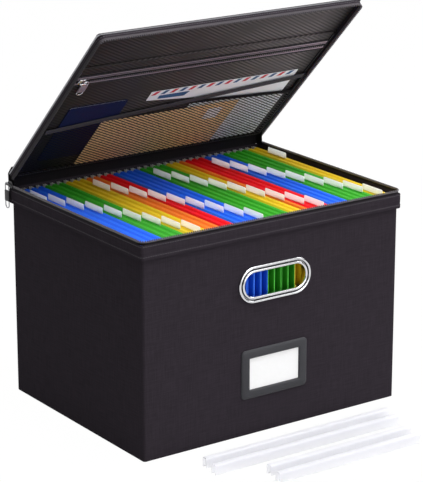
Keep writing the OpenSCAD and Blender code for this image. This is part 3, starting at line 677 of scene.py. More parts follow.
def tab_sleeve():
    """Tabs: clear PVC over a slip of white paper."""
    made, tree, shader = surface("clear PVC", tint("tab"), 0.2, IOR=1.53, Subsurface_Weight=1.0,
                                 Subsurface_Scale=0.02, Subsurface_Radius=(1.0, 1.0, 1.0))
    node(tree, "Bump", {"Height": spots(tree, "object", 8), "Distance": 0.05 * MM},
         shader.inputs["Normal"])
    return made


def folder_bar():
    """Bars of the folders: steel strip with a whitish coating."""
    made, tree, shader = surface("white-coated strip", tint("bar"), 0.45)
    paint_over(tree, shader, tint("bar"), spots(tree, "object", 4, 4), 0.8, 1.1)
    return made


# Each finish: its slot in the record, the function that makes it, and what that is given
FINISHES = {
    # Linen-look polyester on board: matt, dark and cross-hatched by its slubs
    "linen": ("linen_cover", woven, "linen-look polyester cloth", "linen", "cloth"),
    # Hinge cloth: the same weave, painted near black for the shade it lies in under the lid
    "dark_cloth": ("linen_cover", woven, "black polyester cloth", "dark", "cloth"),
    # Cloth inside the boards, which are the frame's own meshes and have no cloth lengths
    "board": ("lining", woven, "lining cloth on board", "lining", "object", 0.7, 1.3),
    "lining": ("lining", lining),
    "thread": ("linen_cover", thread),
    # Woven polyester tapes: fine ribs across them, and grosgrain with coarser ones
    "zip_tape": ("zip_tape", ribbed, "woven zip tape", "tape", 1.2),
    # The grey tape under the lid's edge gets painted shade down the left side and painted light
    # down the right
    "edge_tape": ("zip_tape", ribbed, "grey zip tape", "edge", 1.2, 0.7, painted_side_light(0.25, 4.5)),
    # The plum tape gets painted light that makes it paler towards the lid's right end
    "pocket_tape": ("pocket_tape", ribbed, "plum zip tape", "plum", 1.2, 0.7,
                    ((40, 190, 1.0, 1.9),)),
    "binding": ("linen_cover", ribbed, "grosgrain binding", "binding", 1.4),
    # Black tape; on the seam strips its near black also stands in for painted recess shade at the
    # lid's edge
    "dark_tape": ("lining", ribbed, "black twill tape", "dark", 1.6, 0.9),
    # Moulded acetal, glossy enough to catch a thin line of light, and finer nylon coil
    "teeth": ("zip_tape", plastic, "acetal teeth", "teeth", 0.25),
    "pocket_teeth": ("pocket_tape", plastic, "nylon zip coil", "tape", 0.35),
    "lid_teeth": ("zip_tape", lid_teeth),
    "piping": ("linen_cover", piping),
    "net": ("mesh", net),
    "steel": ("bright_metal", steel),
    "wire": ("bright_metal", wire),
    # Enamelled slider of the long zip, glossier than the soft vinyl of the pulls' sleeves
    "enamel": ("bright_metal", plastic, "black-enamelled zinc", "tape", 0.3),
    "sleeve": ("pull_sleeve", plastic, "soft vinyl", "tape", 0.5),
    "plum_sleeve": ("pocket_tape", plastic, "plum vinyl", "plum", 0.45),
    "paint": ("holder_paint", paint),
    # Pressed papers: even and white, and kraft with long fibres that show
    "label": ("card", fibrous, "white label card", "label"),
    "paper": ("white_paper", fibrous, "writing paper", "paper"),
    "tab_paper": ("tab_plastic", fibrous, "tab insert paper", "tab"),
    "kraft": ("kraft_paper", fibrous, "kraft paper", "kraft", 0.85, 0.75, 1.2, 3.0),
    # Printing inks: matt, and a little uneven
    "red_ink": ("white_paper", fibrous, "red printing ink", "print_red", 0.6, 0.85, 1.1),
    "blue_ink": ("white_paper", fibrous, "blue printing ink", "print_blue", 0.6, 0.85, 1.1),
    "leatherette": ("booklet_cover", leatherette),
    "clear_plastic": ("clear_plastic", clear_plastic),
    "tab_sleeve": ("tab_plastic", tab_sleeve),
    "folder_bar": ("folder_bar", folder_bar),
}
# Folder card: dyed pressed card with a smooth calendered face
for dye in ("blue", "green", "yellow", "orange", "red"):
    FINISHES[dye] = (dye + "_card", fibrous, dye + " folder card", dye, 0.55, 0.85, 1.1, 18.0)
MADE = {}


def finish(name):
    """Material of a finish, made when it is first asked for."""
    if name not in MADE:
        maker, *given = FINISHES[name][1:]
        MADE[name] = maker(*given)
    return MADE[name]


def piece(name, shape, body, finish_name, *replaced):
    """Mesh object of a shape that rides on a body and may stand for nodes of the frame. One
    that crosses a joint has no body."""
    points, faces = shape
    mesh = bpy.data.meshes.new(name)
    mesh.from_pydata(points * MM, [],
                     [row for corners, lengths in faces for row in corners.tolist()])
    cloth = mesh.uv_layers.new(name="cloth")
    lengths = np.concatenate([lengths.reshape(-1, 2) for corners, lengths in faces])
    cloth.data.foreach_set("uv", (lengths * MM).ravel())
    mesh.polygons.foreach_set("use_smooth", np.ones(len(mesh.polygons), bool))
    mesh.set_sharp_from_angle(angle=math.radians(40))
    mesh.materials.append(finish(finish_name))
    mesh.update()
    made = bpy.data.objects.new(name, mesh)
    bpy.context.collection.objects.link(made)
    if body:
        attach(made, body)
    if replaced:
        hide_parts(*replaced)
    return made


def lid_piece(name, shape, finish_name, *replaced):
    """Piece that rides on the lid, from a shape drawn on the shut lid."""
    return piece(name, on_lid(shape), "lid", finish_name, *replaced)


def dress(finish_name, *nodes):
    """Gives nodes of the frame, whose shapes are right, their material."""
    for name in nodes:
        mesh = frame["nodes"][name].data
        mesh.materials.clear()
        mesh.materials.append(finish(finish_name))


# Box

def wall_line(step=1000.0):
    """Outline of the walls from above."""
    low, high = box_mm("front_panel")
    corner = high[1] - low[1]
    return rounded(rectangle(low[0], high[0], low[1], -low[1], corner), step=step)


def rim_line(step=1000.0):
    """Outline of the rim from above."""
    low, high = box_mm("rim_band")
    return rounded(rectangle(low[0], high[0], low[1], high[1], 4, 3), step=step)


def zip_line(tail_y, step=1000.0):
    """Line of the long zip from above: left, front and right, over the rim's cloth."""
    low, high = box_mm("rim_band")
    inset, corner = 0.5, 9.5
    corners = three_sides(low[0] + inset, high[0] - inset, low[1] + inset, tail_y, corner)
    return rounded(corners, False, step)


def make_wall_cloth():
    """Cloth round the four walls, a little off the boards, turned in at the foot, and cut
    out under the rings of the hand holes: P = point + out * normal, at height z."""
    cell, margin = 4.0, 4.0
    ring_low, ring_high = box_mm("front_grommet")
    middle = (ring_low[2] + ring_high[2]) / 2
    radius = (ring_high[2] - ring_low[2]) / 2 - RING_WIDE
    half = ring_high[0] - RING_WIDE - radius
    gap, top = mm("cloth_gap"), box_mm("rim_band")[0][2]
    points, normals = wall_line(cell)
    rise = np.linspace(1.0, top, round(top / cell))
    profile = np.array([(-1.2, 0.05), (-0.3, 0.1), (gap * 0.7, 0.4)] + [(gap, z) for z in rise])
    out = np.empty((len(points), len(profile), 3))
    out[..., :2] = points[:, None] + normals[:, None] * profile[:, :1]
    out[..., 2] = profile[:, 1]
    placed, ((corners, lengths),) = grid(out, True, False)
    centre = placed[corners].mean(axis=1)
    off = np.hypot(np.maximum(np.abs(centre[:, 0]) - half, 0), centre[:, 2] - middle)
    keep = (off >= radius + margin) | (np.abs(centre[:, 1]) <= WALL_FACE - 1)
    made = piece("wall_cloth", (placed, [(corners[keep], lengths[keep])]), "box", "linen")


def make_boards():
    """Inner faces of the boards, which keep the frame's own shapes."""
    dress("board", "front_panel", "rear_panel", "left_panel", "right_panel", "base_panel")


def make_rim():
    """Cloth rim: folded over at its foot, with a sewn groove above the fold, two rows of
    stitches and a rounded top edge."""
    low, high = box_mm("rim_band")
    foot, top = low[2], high[2]
    profile = [(-3.2, foot + 0.1), (-0.6, foot), (0.1, foot + 0.3), (0.45, foot + 1.1),
               (0.5, foot + 3), (0.42, foot + 5.6), (-0.05, foot + 6.6), (0.2, foot + 7.8),
               (0.35, foot + 11), (0.3, top - 4), (0.05, top - 2.2), (0.15, top - 1.2),
               (-0.15, top - 0.3), (-0.5, top), (-0.85, top - 0.2), (-1, top - 1),
               (-1, foot + 1.1), (-3.2, foot + 1.1)]
    line = rim_line(8.0)
    made = piece("rim_cloth", sweep(line, profile), "box", "linen", "rim_band")
    rows = join(stitches(line, 0.35, foot + 4.6, standing=True),
                stitches(line, 0.2, top - 2.2, standing=True))
    seams = piece("rim_stitches", rows, "box", "thread")


def tape_profile(z0, z1, thick):
    """Thin standing tape with soft edges."""
    h, soft = thick / 2, min(0.25, (z1 - z0) / 4)
    return [(-h * 0.5, z0), (h * 0.5, z0), (h, z0 + soft), (h, z1 - soft), (h * 0.5, z1),
            (-h * 0.5, z1), (-h, z1 - soft), (-h, z0 + soft)]


def zip_row(line, z_cord, up):
    """Cord and teeth of one row: the cord at its tape, the teeth towards up."""
    cord = tape_profile(*sorted((z_cord, z_cord + up * 1.1)), 2.0)
    tooth = bead(1.9, 2.1, 2.3, 8)
    return join(sweep(line, cord, False),
                row_of(tooth, line, mm("tooth_pitch"), 0, z_cord + up * 1.65, False))


def make_rim_zip():
    """Tape and teeth that stand on the rim's left, front and right edges."""
    low, high = box_mm("rim_zip_tape")
    line = zip_line(high[1], 12.0)
    tape = sweep(line, tape_profile(low[2] - 0.6, high[2] + 0.1, 0.6), False)
    piece("rim_tape_cloth", tape, "box", "zip_tape", "rim_zip_tape")
    piece("rim_teeth", zip_row(line, high[2], 1), "box", "teeth", "rim_zip_teeth")


def make_hinge_cloth():
    """Cloth hinge: rises inside the rim's rear edge, turns over the hinge line and lies
    on the lid's outer skin, as the lid stands at rest. At both ends it goes on above
    the rim, out to the rim's corners."""
    low, high = box_mm("hinge_gusset")
    thick, lap, foot = 0.9, 13.0, low[2] - 3
    skin = np.array([math.sin(LID_OPEN), math.cos(LID_OPEN)])
    back = np.array([-math.cos(LID_OPEN), math.sin(LID_OPEN)])
    end = HINGE[1:] + skin * 0.5 + back * lap
    over = box_mm("rim_band")[1][2] + 0.2
    whole, upper = (ribbon([(HINGE[1] - 0.45, start, 0), (HINGE[1] + 0.15, HINGE[2] - 1, 0.9),
                            (*end, 0)], thick, 2.5) for start in (foot, over))
    shape = bent_strip(whole, np.linspace(high[0], low[0], 60), (1, 2, 0))
    # Near black: painted shade of the lid over the hinge
    made = piece("hinge_cloth", shape, None, "dark_cloth", "hinge_gusset")
    reach, gap = 5, 0.02
    sides = [bent_strip(upper, np.linspace(x1, x0, 3), (1, 2, 0))
             for x1, x0 in ((high[0] + reach, high[0] + gap), (low[0] - gap, low[0] - reach))]
    wings = piece("hinge_cloth_ends", join(*sides, *side_webs(over)), None, "dark_cloth")
    for cloth in (made, wings):
        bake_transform(cloth)


def side_webs(over):
    """Webs that close the corner between the rim and the lid's band at both ends of the
    hinge: plates in the plane x = constant from the rim's top to the band's lower edge."""
    low, high = box_mm("rim_band")
    web, half_thick, inset = 14.0, 0.25, 1.9
    edge = turned(np.array([[0.0, HINGE[1] - 9, shut_box("lid_band")[0][2]]]), LID_OPEN)[0]
    outline = rounded([(HINGE[1] - 0.9, over, 0.3), (HINGE[1] - 0.6, HINGE[2] - 1.5, 0.3),
                       (edge[1], edge[2] + 1, 0.3), (HINGE[1] - web, over, 0.3)][::-1], step=1.5)
    web_sheet = slab(outline, [(0, -half_thick), (0, half_thick)])
    rows = [(0, 1, 0), (0, 0, 1), (1, 0, 0)]
    return [moved(web_sheet, rows, (x, 0, 0)) for x in (low[0] + inset, high[0] - inset)]


def grommet_section():
    """Section of the ring round a hand hole, as (out from the hole, out from the wall): a
    sleeve through the wall and two beads, P = middle + r (cos a, sin a), with a valley."""
    low, high = box_mm("front_grommet")
    depth, r, wide = high[1] + WALL_FACE, (-WALL_FACE - low[1]) / 2, RING_WIDE
    inner, outer = np.radians(np.linspace(180, -10, 11)), np.radians(np.linspace(190, 0, 11))
    beads = [(r + r * math.cos(a), r + r * math.sin(a)) for a in inner]
    beads += [(2 * r + 0.4, 0.3), (wide - 2 * r - 0.4, 0.3)]
    beads += [(wide - r + r * math.cos(a), r + r * math.sin(a)) for a in outer]
    return [(0, -depth)] + beads + [(wide, 0.3), (wide - 0.4, 0.05), (1, 0.05), (1, -depth)]


def make_hand_holes():
    """Plated steel rings round both hand holes, and the plates behind them."""
    low, high = box_mm("front_grommet")
    half, rise = high[0] - RING_WIDE, (high[2] - low[2]) / 2 - RING_WIDE
    line = rounded(rectangle(-half, half, -rise, rise, rise), bend=0.1)
    ring = sweep(line, grommet_section()[::-1])
    for name, side in (("front", -1), ("rear", 1)):
        rows = [(-side, 0, 0), (0, 0, 1), (0, side, 0)]
        placed = moved(ring, rows, (0, side * WALL_FACE, (high[2] + low[2]) / 2))
        piece(name + "_ring", placed, "box", "steel", name + "_grommet")
    dress("steel", "grommet_backings")


def make_label_holder():
    """Label holder: a bevelled frame between two rounded rectangles, thickest halfway, and
    the label in it: P = outer + s (inner - outer), at a height for each s."""
    low, high = box_mm("label_holder")
    middle, wide, tall = (low[2] + high[2]) / 2, high[0], (high[2] - low[2]) / 2
    proud, side, border = high[1] - low[1], 13.2, 12.0
    outer = rounded(rectangle(-wide, wide, -tall, tall, 6))[0]
    inner = rounded(rectangle(side - wide, wide - side, border - tall, tall - border, 1))[0]
    section = [(0, 0.1), (0, 1.4), (0.05, 2.1), (0.2, proud - 0.25), (0.27, proud), (0.8, proud),
               (0.88, proud - 0.2), (0.97, 1.7), (1, 1.2), (1, 1.1), (0.05, 0.9)]
    points = np.array([np.column_stack([outer + (inner - outer) * s, np.full(len(outer), h)])
                       for s, h in section]).transpose(1, 0, 2)
    bevelled = moved(grid(points[:, ::-1], True, True), FACING_FRONT, (0, -WALL_FACE, middle))
    piece("label_frame", bevelled, "box", "paint", "label_holder")
    dress("label", "label_card")


# Lid

def lid_corners(node, front, rear):
    """Corners of a node's outline on the shut lid, with radii."""
    low, high = shut_box(node)
    return rectangle(low[0], high[0], low[1], high[1], front, rear)


def make_lid_cover():
    """Covered lid board: one plate with a rolled upper edge and a tucked lower one."""
    low, high = shut_box("lid_board")
    z0, z1 = low[2], high[2]
    roll, turn = 3.0, np.radians([0, 20, 40, 60, 80, 90])
    rings = [(1.2, z0), (0.3, z0 + 0.05), (0.05, z0 + 0.4)]
    rings += [(roll * (1 - math.cos(a)), z1 - roll * (1 - math.sin(a))) for a in turn]
    lid_piece("lid_cover", plate(lid_corners("lid_board", 5, 1.6), rings, 20.0), "linen",
              "lid_board")


def make_lid_band():
    """Cloth band under the lid's edge, with its piping, zip tape, teeth and stitches."""
    low, high = shut_box("lid_band")
    z0, z1, z_tape = low[2], high[2], shut_box("lid_zip_tape")[0][2]
    edge = rounded(three_sides(low[0], high[0], low[1], high[1], 5), False, 8.0)
    radius = 0.9
    cord = [(0.2 + radius * math.cos(a), z1 + 0.6 + radius * math.sin(a))
            for a in np.radians(np.arange(8) * 45)]
    lid_piece("lid_piping", sweep(edge, cord, False), "piping")
    line = zip_line(high[1], 8.0)
    band = [(-0.5, z0), (0.4, z0), (0.75, z0 + 0.5), (0.7, z0 + 1.6), (0.5, z0 + 2.2),
            (0.7, z0 + 2.9), (0.75, z1 - 0.6), (0.45, z1), (-0.5, z1)]
    lid_piece("lid_band_cloth", sweep(line, band, False), "linen", "lid_band")
    lid_piece("lid_band_stitches", stitches(line, 0.6, z0 + 2.2, False, True), "thread")
    tape = sweep(line, tape_profile(z_tape - 0.1, z0 + 0.6, 0.6), False)
    lid_piece("lid_tape_cloth", tape, "edge_tape", "lid_zip_tape")
    teeth_line = zip_line(shut_box("lid_zip_teeth")[1][1], 12.0)
    lid_piece("lid_teeth", zip_row(teeth_line, z_tape, -1), "lid_teeth", "lid_zip_teeth")


def flat_sheet(node, edge=0.18, corner=1.0):
    """Plate with soft edges in the place of a flat node on the shut lid."""
    low, high = shut_box(node)
    edge = min(edge, (high[2] - low[2]) / 2 - 0.01)
    return plate(lid_corners(node, corner, corner), soft_rings(low[2], high[2], edge))


def make_lining():
    """Lining of the lid."""
    low, high = shut_box("lid_lining")
    cloth = plate(lid_corners("lid_lining", 8.7, 1), soft_rings(low[2], high[2] - 0.03, 0.15))
    made = lid_piece("lid_lining_cloth", cloth, "lining", "lid_lining")


def make_pocket_cloths():
    """Panel of the zipped pocket, and the strip above its zip with the fold."""
    low, high = shut_box("zip_pocket_panel")
    made = lid_piece("pocket_panel_cloth", flat_sheet("zip_pocket_panel"), "lining",
                     "zip_pocket_panel")
    (x0, y0, z0), (x1, y1, _) = shut_box("zip_pocket_strip")
    strip = plate(rectangle(x0, x1, y0 + 1.5, y1, 0.8), soft_rings(z0, z0 + 0.4, 0.15))
    fold = rod(x0, x1, y0 + 1.6, z0 + 1.3, (1.25, 1.6))
    made = lid_piece("pocket_strip_cloth", join(strip, fold), "lining", "zip_pocket_strip")


def make_pocket_zip():
    """Zip of the pocket: two tapes, each with a ridge, a row of stitches, a cord and a row
    of teeth, which lie at their own distances from the zip's middle line."""
    x0, x1 = (corner[0] for corner in shut_box("zip_pocket_strip"))
    low, high = shut_box("pocket_zip_tapes")
    middle, z0, z1 = (low[1] + high[1]) / 2, low[2], high[2]
    centre = (shut_box("pocket_zip_teeth")[0][2] + shut_box("pocket_zip_teeth")[1][2]) / 2
    tooth = bead(2.0, 2.6, 2.1, 8)
    tapes, ridges, seams, edges, rows = [], [], [], [], []
    for side in (-1, 1):
        teeth_y, cord_y, near, ridge_y, seam_y, far = (
            middle + side * away for away in (2.1, 3.1, 3.5, 6.4, 10.1, 11.5))
        tapes.append(plate(rectangle(x0, x1, *sorted((near, far)), 0.8), soft_rings(z0, z1, 0.2)))
        ridges.append(rod(x0, x1, ridge_y, z0, (0.5, 1.3)))
        seams.append(stitches(straight((x0, seam_y), (x1, seam_y)), 0, z0 - 0.1, False))
        edges.append(rod(x0, x1, cord_y, centre, (0.9, 0.5), 8))
        line = straight((x0, teeth_y), (x1, teeth_y), 12.0)
        rows.append(row_of(tooth, line, mm("tooth_pitch"), 0, centre, False))
    lid_piece("pocket_tape_cloth", join(*tapes), "zip_tape", "pocket_zip_tapes")
    lid_piece("pocket_tape_ridges", join(*ridges), "pocket_tape")
    lid_piece("pocket_tape_stitches", join(*seams), "thread")
    lid_piece("pocket_zip_cords", join(*edges), "pocket_tape")
    lid_piece("pocket_teeth", join(*rows), "pocket_teeth", "pocket_zip_teeth")


def mouth():
    """The net's mouth on the shut lid, from its binding's own points: its left and its right
    end as (x, front y, rear y) of the binding there, and the binding's lower and upper z."""
    shut = shut_points("open_pocket_binding")
    low, high = shut.min(axis=0), shut.max(axis=0)
    left, right = (shut[np.abs(shut[:, 0] - x) < 0.01][:, 1] for x in (low[0], high[0]))
    return (low[0], left.min(), left.max()), (high[0], right.min(), right.max()), low[2], high[2]


def cords(corners, angle, pitch, width, thick, z):
    """Parallel cords of a net inside a convex outline. Cord k follows the line n . p =
    k pitch between the outline's sides, and its half width swells and shrinks along it."""
    corners = np.array(corners, float)
    way = np.array([math.cos(angle), math.sin(angle)])
    across = np.array([-way[1], way[0]])
    reach = corners @ across
    k = np.arange(math.ceil(reach.min() / pitch + 0.3), math.floor(reach.max() / pitch - 0.3) + 1)
    start = across * (k * pitch)[:, None]
    side = np.roll(corners, -1, axis=0) - corners
    normal = np.column_stack([side[:, 1], -side[:, 0]])
    speed = normal @ way
    at = ((corners * normal).sum(axis=1) - start @ normal.T) / speed
    first = np.where(speed < 0, at, -np.inf).max(axis=1)
    last = np.where(speed > 0, at, np.inf).min(axis=1)
    shortest, rings, sides = 3, 60, 6
    long = last - first > shortest
    start, first, last = start[long], first[long], last[long]
    t = first[:, None] + (last - first)[:, None] * np.linspace(0, 1, rings)
    swell = width / 2 * (1 + 0.12 * np.cos(2 * math.pi * t / pitch))
    turn = np.radians(np.arange(sides) * 60 + 30)
    points = np.empty((*t.shape, sides, 3))
    middle = start[:, None] + t[..., None] * way
    points[..., :2] = middle[:, :, None] + (swell[..., None] * np.cos(turn))[..., None] * across
    points[..., 2] = z + thick / 2 * np.sin(turn)
    return join(*[with_ends(grid(strand[:, ::-1], False, True), rings, sides)
                  for strand in points])


def make_open_pocket():
    """Open pocket: a net of slanting cords held by finer ones across them, its bound mouth
    with a second binding below it at the right, and the sewn strips round it."""
    left, right, z0, z1 = mouth()
    low, high = shut_box("open_pocket_mesh")
    x0, x1, rear, z = low[0], high[0], high[1], (low[2] + high[2]) / 2
    apex, end = (-20, HINGE[1] - 132.3), (x1, HINGE[1] - 113.6)
    outline = [(x0, left[2] - 1), apex, end, (x1, rear), (x0, rear)]
    pitch, wide, fine = mm("net_pitch"), mm("net_cord"), 0.45
    net_shape = join(cords(outline, math.radians(32.4), pitch, wide, 0.34, z),
                     cords(outline, math.radians(-52), 2 * pitch, fine, 0.3, z + 0.02))
    made = lid_piece("net", net_shape, "net", "open_pocket_mesh")
    # A net is mostly gaps: its flat area is the outline's, times the share its cords cover
    run, width = right[0] - left[0], left[2] - left[1]
    line = straight((left[0], left[1] + width / 2), (right[0], right[1] + width / 2), 8.0)
    # The binding is cut square to its slanting line, and 1.2 mm wider on each side
    h = width / 2 * run / math.hypot(run, right[1] - left[1]) + 1.2
    profile = [(-h + 0.3, z0), (h - 0.3, z0), (h, z0 + 0.3), (h, z1 - 0.3), (h - 0.3, z1),
               (-h + 0.3, z1), (-h, z1 - 0.3), (-h, z0 + 0.3)]
    flat = [(-3.2, z0 + 0.2), (3.2, z0 + 0.2), (3.5, z0 + 0.4), (3.2, z1 - 0.05),
            (-3.2, z1 - 0.05), (-3.5, z0 + 0.4)]
    lid_piece("mouth_binding", sweep(line, profile, False), "binding", "open_pocket_binding")
    lid_piece("lower_binding", sweep(straight(apex, end, 8.0), flat, False), "dark_tape")
    rows = join(stitches(line, h - 1.2, z0, False), stitches(line, 1.2 - h, z0, False))
    lid_piece("mouth_stitches", rows, "thread")
    make_side_strips(left, right, rear)


def make_side_strips(left, right, rear):
    """Sewn strips at both sides and at the hinge end of the pockets, each a padded seam
    with soft edges."""
    low, high = shut_box("pocket_side_strips")
    shallow = shut_box("pocket_zip_tapes")[0][2]
    strips, seams = [], []
    for x0, x1, mouth_y in ((low[0], left[0], left[1]), (right[0], high[0], right[1])):
        for y0, y1, z0 in ((mouth_y, high[1], low[2]), (low[1], mouth_y, shallow)):
            strips.append(plate(rectangle(x0, x1, y0, y1, 0.9), soft_rings(z0, high[2], 0.6)))
            middle = (x0 + x1) / 2
            seams.append(stitches(straight((middle, y0 + 3), (middle, y1 - 3)), 0, z0, False))
    strips.append(plate(rectangle(left[0], right[0], rear, high[1], 0.9),
                        soft_rings(low[2], high[2], 0.6)))
    middle = (rear + high[1]) / 2
    seams.append(stitches(straight((left[0], middle), (right[0], middle)), 0, low[2], False))
    # The strips' near black is partly painted shade of the recess at the lid's edge
    lid_piece("pocket_seam_strips", join(*strips), "dark_tape", "pocket_side_strips")
    lid_piece("pocket_seam_stitches", join(*seams), "thread")


# Papers

def make_booklet():
    """Booklet: two covers with rounded corners round a block of pages, and a spine."""
    (x0, y0, z0), (x1, y1, z1) = shut_box("booklet")
    outline, middle = rectangle(x0, x1, y0, y1, 3.5), (z0 + z1) / 2
    covers = [plate(outline, soft_rings(a, b, 0.16)) for a, b in ((z0, z0 + 0.4), (z1 - 0.4, z1))]
    spine = tube(np.array([(x0 + 0.4, y0 + 3, middle), (x0 + 0.4, y1 - 3, middle)]), (0, 0, 1),
                 ((z1 - z0) / 2, 0.4))
    pages = plate(rectangle(x0 + 0.8, x1 - 1.2, y0 + 1.2, y1 - 1.2, 2.5),
                  [(0, z0 + 0.35), (0, z1 - 0.35)])
    lid_piece("booklet_cover", join(*covers, spine), "leatherette", "booklet")
    lid_piece("booklet_pages", pages, "paper")


def make_striped_envelope():
    """Striped envelope with a slanting upper corner, stripes that lean along its front edge,
    and a bare patch."""
    (x0, y0, z0), (x1, y1, z1) = shut_box("airmail_envelope")
    outline = [(x0, y0, 1), (x1, y0, 1), (x1, y1, 1), (x0 + 82, y1, 1), (x0 + 82, y0 + 31, 1),
               (x0, y0 + 20, 1)]
    lid_piece("striped_envelope", plate(outline, soft_rings(z0, z1, 0.2)), "paper",
              "airmail_envelope")
    ink, pitch = 0.06, 29
    tile = plate([(0, 0.6, 0.2), (7, 0.6, 0.2), (1.2, 8.8, 0.2), (-5.8, 8.8, 0.2)],
                 [(0, -ink), (0, 0)])
    for name, start in (("red", 8.0), ("blue", 22.5)):
        origins = np.array([(x, y0, z0) for x in np.arange(x0 + start, x1 - 9, pitch)])
        tiles = copies(tile, np.repeat(np.eye(3)[None], len(origins), axis=0), origins)
        lid_piece(f"envelope_{name}_stripes", tiles, name + "_ink")
    patch = [(x0 + 17, y0 + 11.5, 1), (x0 + 66, y0 + 11.5, 1), (x0 + 60, y0 + 21.5, 1),
             (x0 + 17, y0 + 19.5, 1)]
    lid_piece("envelope_patch", plate(patch, [(0, z0 - ink), (0, z0)]), "blue_ink")


def make_papers():
    """Kraft envelope with its flap and a white slip, and the loose white papers."""
    (x0, y0, z0), (x1, _, z1) = shut_box("kraft_envelope")
    # The body lies this far behind the flap's face
    z_body = z0 + 0.12
    body = plate(lid_corners("kraft_envelope", 1.5, 1.5), soft_rings(z_body, z1, 0.15))
    flap = plate([(x0 + 2, y0 + 0.5, 1), (x1 - 2, y0 + 0.5, 1), (x1 - 26, y0 + 34, 8),
                  (x0 + 26, y0 + 34, 8)], soft_rings(z0, z_body + 0.05, 0.05))
    lid_piece("kraft_envelope_paper", join(body, flap), "kraft", "kraft_envelope")
    slip = plate(rectangle(x1 - 46, x1 - 22, y0 + 12, y0 + 38, 1), [(0, z0 - 0.1), (0, z0 + 0.1)])
    lid_piece("kraft_envelope_slip", slip, "paper")
    lid_piece("white_papers", flat_sheet("loose_papers", 0.1, 0.6), "paper", "loose_papers")


# Zips

# Half the height of a slider, from the middle between its plates to a plate's outer face
SLIDER_HALF = 2.4


def slider_shape(lips):
    """Zip slider along X that shows +Z: two plates with soft edges, a wedge between the
    rows, lips at the tape and an arched bridge."""
    half = [(-6.5, -2.5, 1), (-4.5, -4.5, 1.2), (2.5, -4.5, 1.2), (6.5, -0.5, 0.9)]
    outline = half + [(x, -y, r) for x, y, r in half[::-1]]
    inner = SLIDER_HALF - 1
    plates = [plate(outline, soft_rings(a, b, 0.35))
              for a, b in ((inner, SLIDER_HALF), (-SLIDER_HALF, -inner))]
    wedge = plate(rectangle(-2.5, 2.5, -0.45, 0.45, 0.3), [(0, -1.5), (0, 1.5)])
    arch = flat_line([(-4.5, 2.1, 0), (-4.5, 5.4, 1.6), (4.5, 5.4, 1.6), (4.5, 2.1, 0)], step=2)
    bridge = moved(tube(arch, (0, 0, 1), (1.1, 0.75), sides=14), FACING_FRONT)
    edges = [moved(bead(9, 0.8, 0.85, 8), origin=(0, y * 4.1, z)) for y in lips for z in (-1, 1)]
    return join(*plates, wedge, bridge, *edges)


def pull_shape(long):
    """Wire loop of a pull that hangs along -Y from a post at the origin."""
    wire, half, post, play = 0.65, 5.0, 0.9, 0.3
    r, top = half - wire, post + play + wire
    line = flat_line(rectangle(-r, r, top - long + 2 * wire, top, r * 0.98), True, bend=0.15)
    return tube(line, (0, 0, 1), wire, True)


def sleeve_shape(long):
    """Sleeve on the wires of a pull."""
    middle = 1.85 - long / 2
    return plate(rectangle(-5.4, 5.4, middle - 7.5, middle + 7.5, 1.4), soft_rings(-1.0, 1.0, 0.7))


def make_main_slider():
    """Slider and pull of the long zip, at the left rear end of its row."""
    low, high = box_mm("main_slider")
    origin = (high[0] - SLIDER_HALF, (low[1] + high[1]) / 2, (low[2] + high[2]) / 2)
    body = moved(slider_shape([1]), [(0, 1, 0), (0, 0, -1), (-1, 0, 0)], origin)
    piece("main_slider_body", body, "main_slider", "enamel", "main_slider")
    pivot = np.array(JOINTS["main_pull_swing"]["pos_m"]) / MM
    low, high = box_mm("main_pull_loop")
    long = high[2] - low[2]
    piece("main_pull_wire", moved(pull_shape(long), FACING_LEFT, pivot), "main_pull", "wire",
          "main_pull_loop")
    piece("main_pull_grip", moved(sleeve_shape(long), FACING_LEFT, pivot), "main_pull",
          "sleeve", "main_pull_sleeve")


def make_pocket_slider():
    """Slider and pull of the pocket zip, on the underside of the lid."""
    low, high = shut_box("pocket_slider")
    origin = np.array([(low[0] + high[0]) / 2, (low[1] + high[1]) / 2, high[2] - SLIDER_HALF])
    rows = [(1, 0, 0), (0, -1, 0), (0, 0, -1)]
    piece("pocket_slider_body", on_lid(moved(slider_shape([-1, 1]), rows, origin)),
          "pocket_slider", "steel", "pocket_slider")
    low, high = shut_box("pocket_pull_loop")
    long = high[1] - low[1]
    pivot = (origin[0] + 4.5, origin[1], (low[2] + high[2]) / 2)
    piece("pocket_pull_wire", on_lid(moved(pull_shape(long), rows, pivot)), "pocket_pull",
          "steel", "pocket_pull_loop")
    piece("pocket_pull_grip", on_lid(moved(sleeve_shape(long), rows, pivot)), "pocket_pull",
          "plum_sleeve", "pocket_pull_sleeve")


# Folders

GROUPS = {
    "left": [("blue", 4), ("green", 3), ("yellow", 3), ("orange", 2)],
    "middle": [("red", 2), ("blue", 4), ("green", 4), ("yellow", 2)],
    "right": [("orange", 1), ("red", 3), ("blue", 3), ("green", 4), ("yellow", 2)],
}


def folder_places(node, count):
    """Middles of the folders in a node."""
    low, high = box_mm(node)
    wide = np.ptp([box_mm("right_orange_folders")[k][0] for k in (0, 1)])
    return np.linspace(low[0] + wide / 2, high[0] - wide / 2, count)


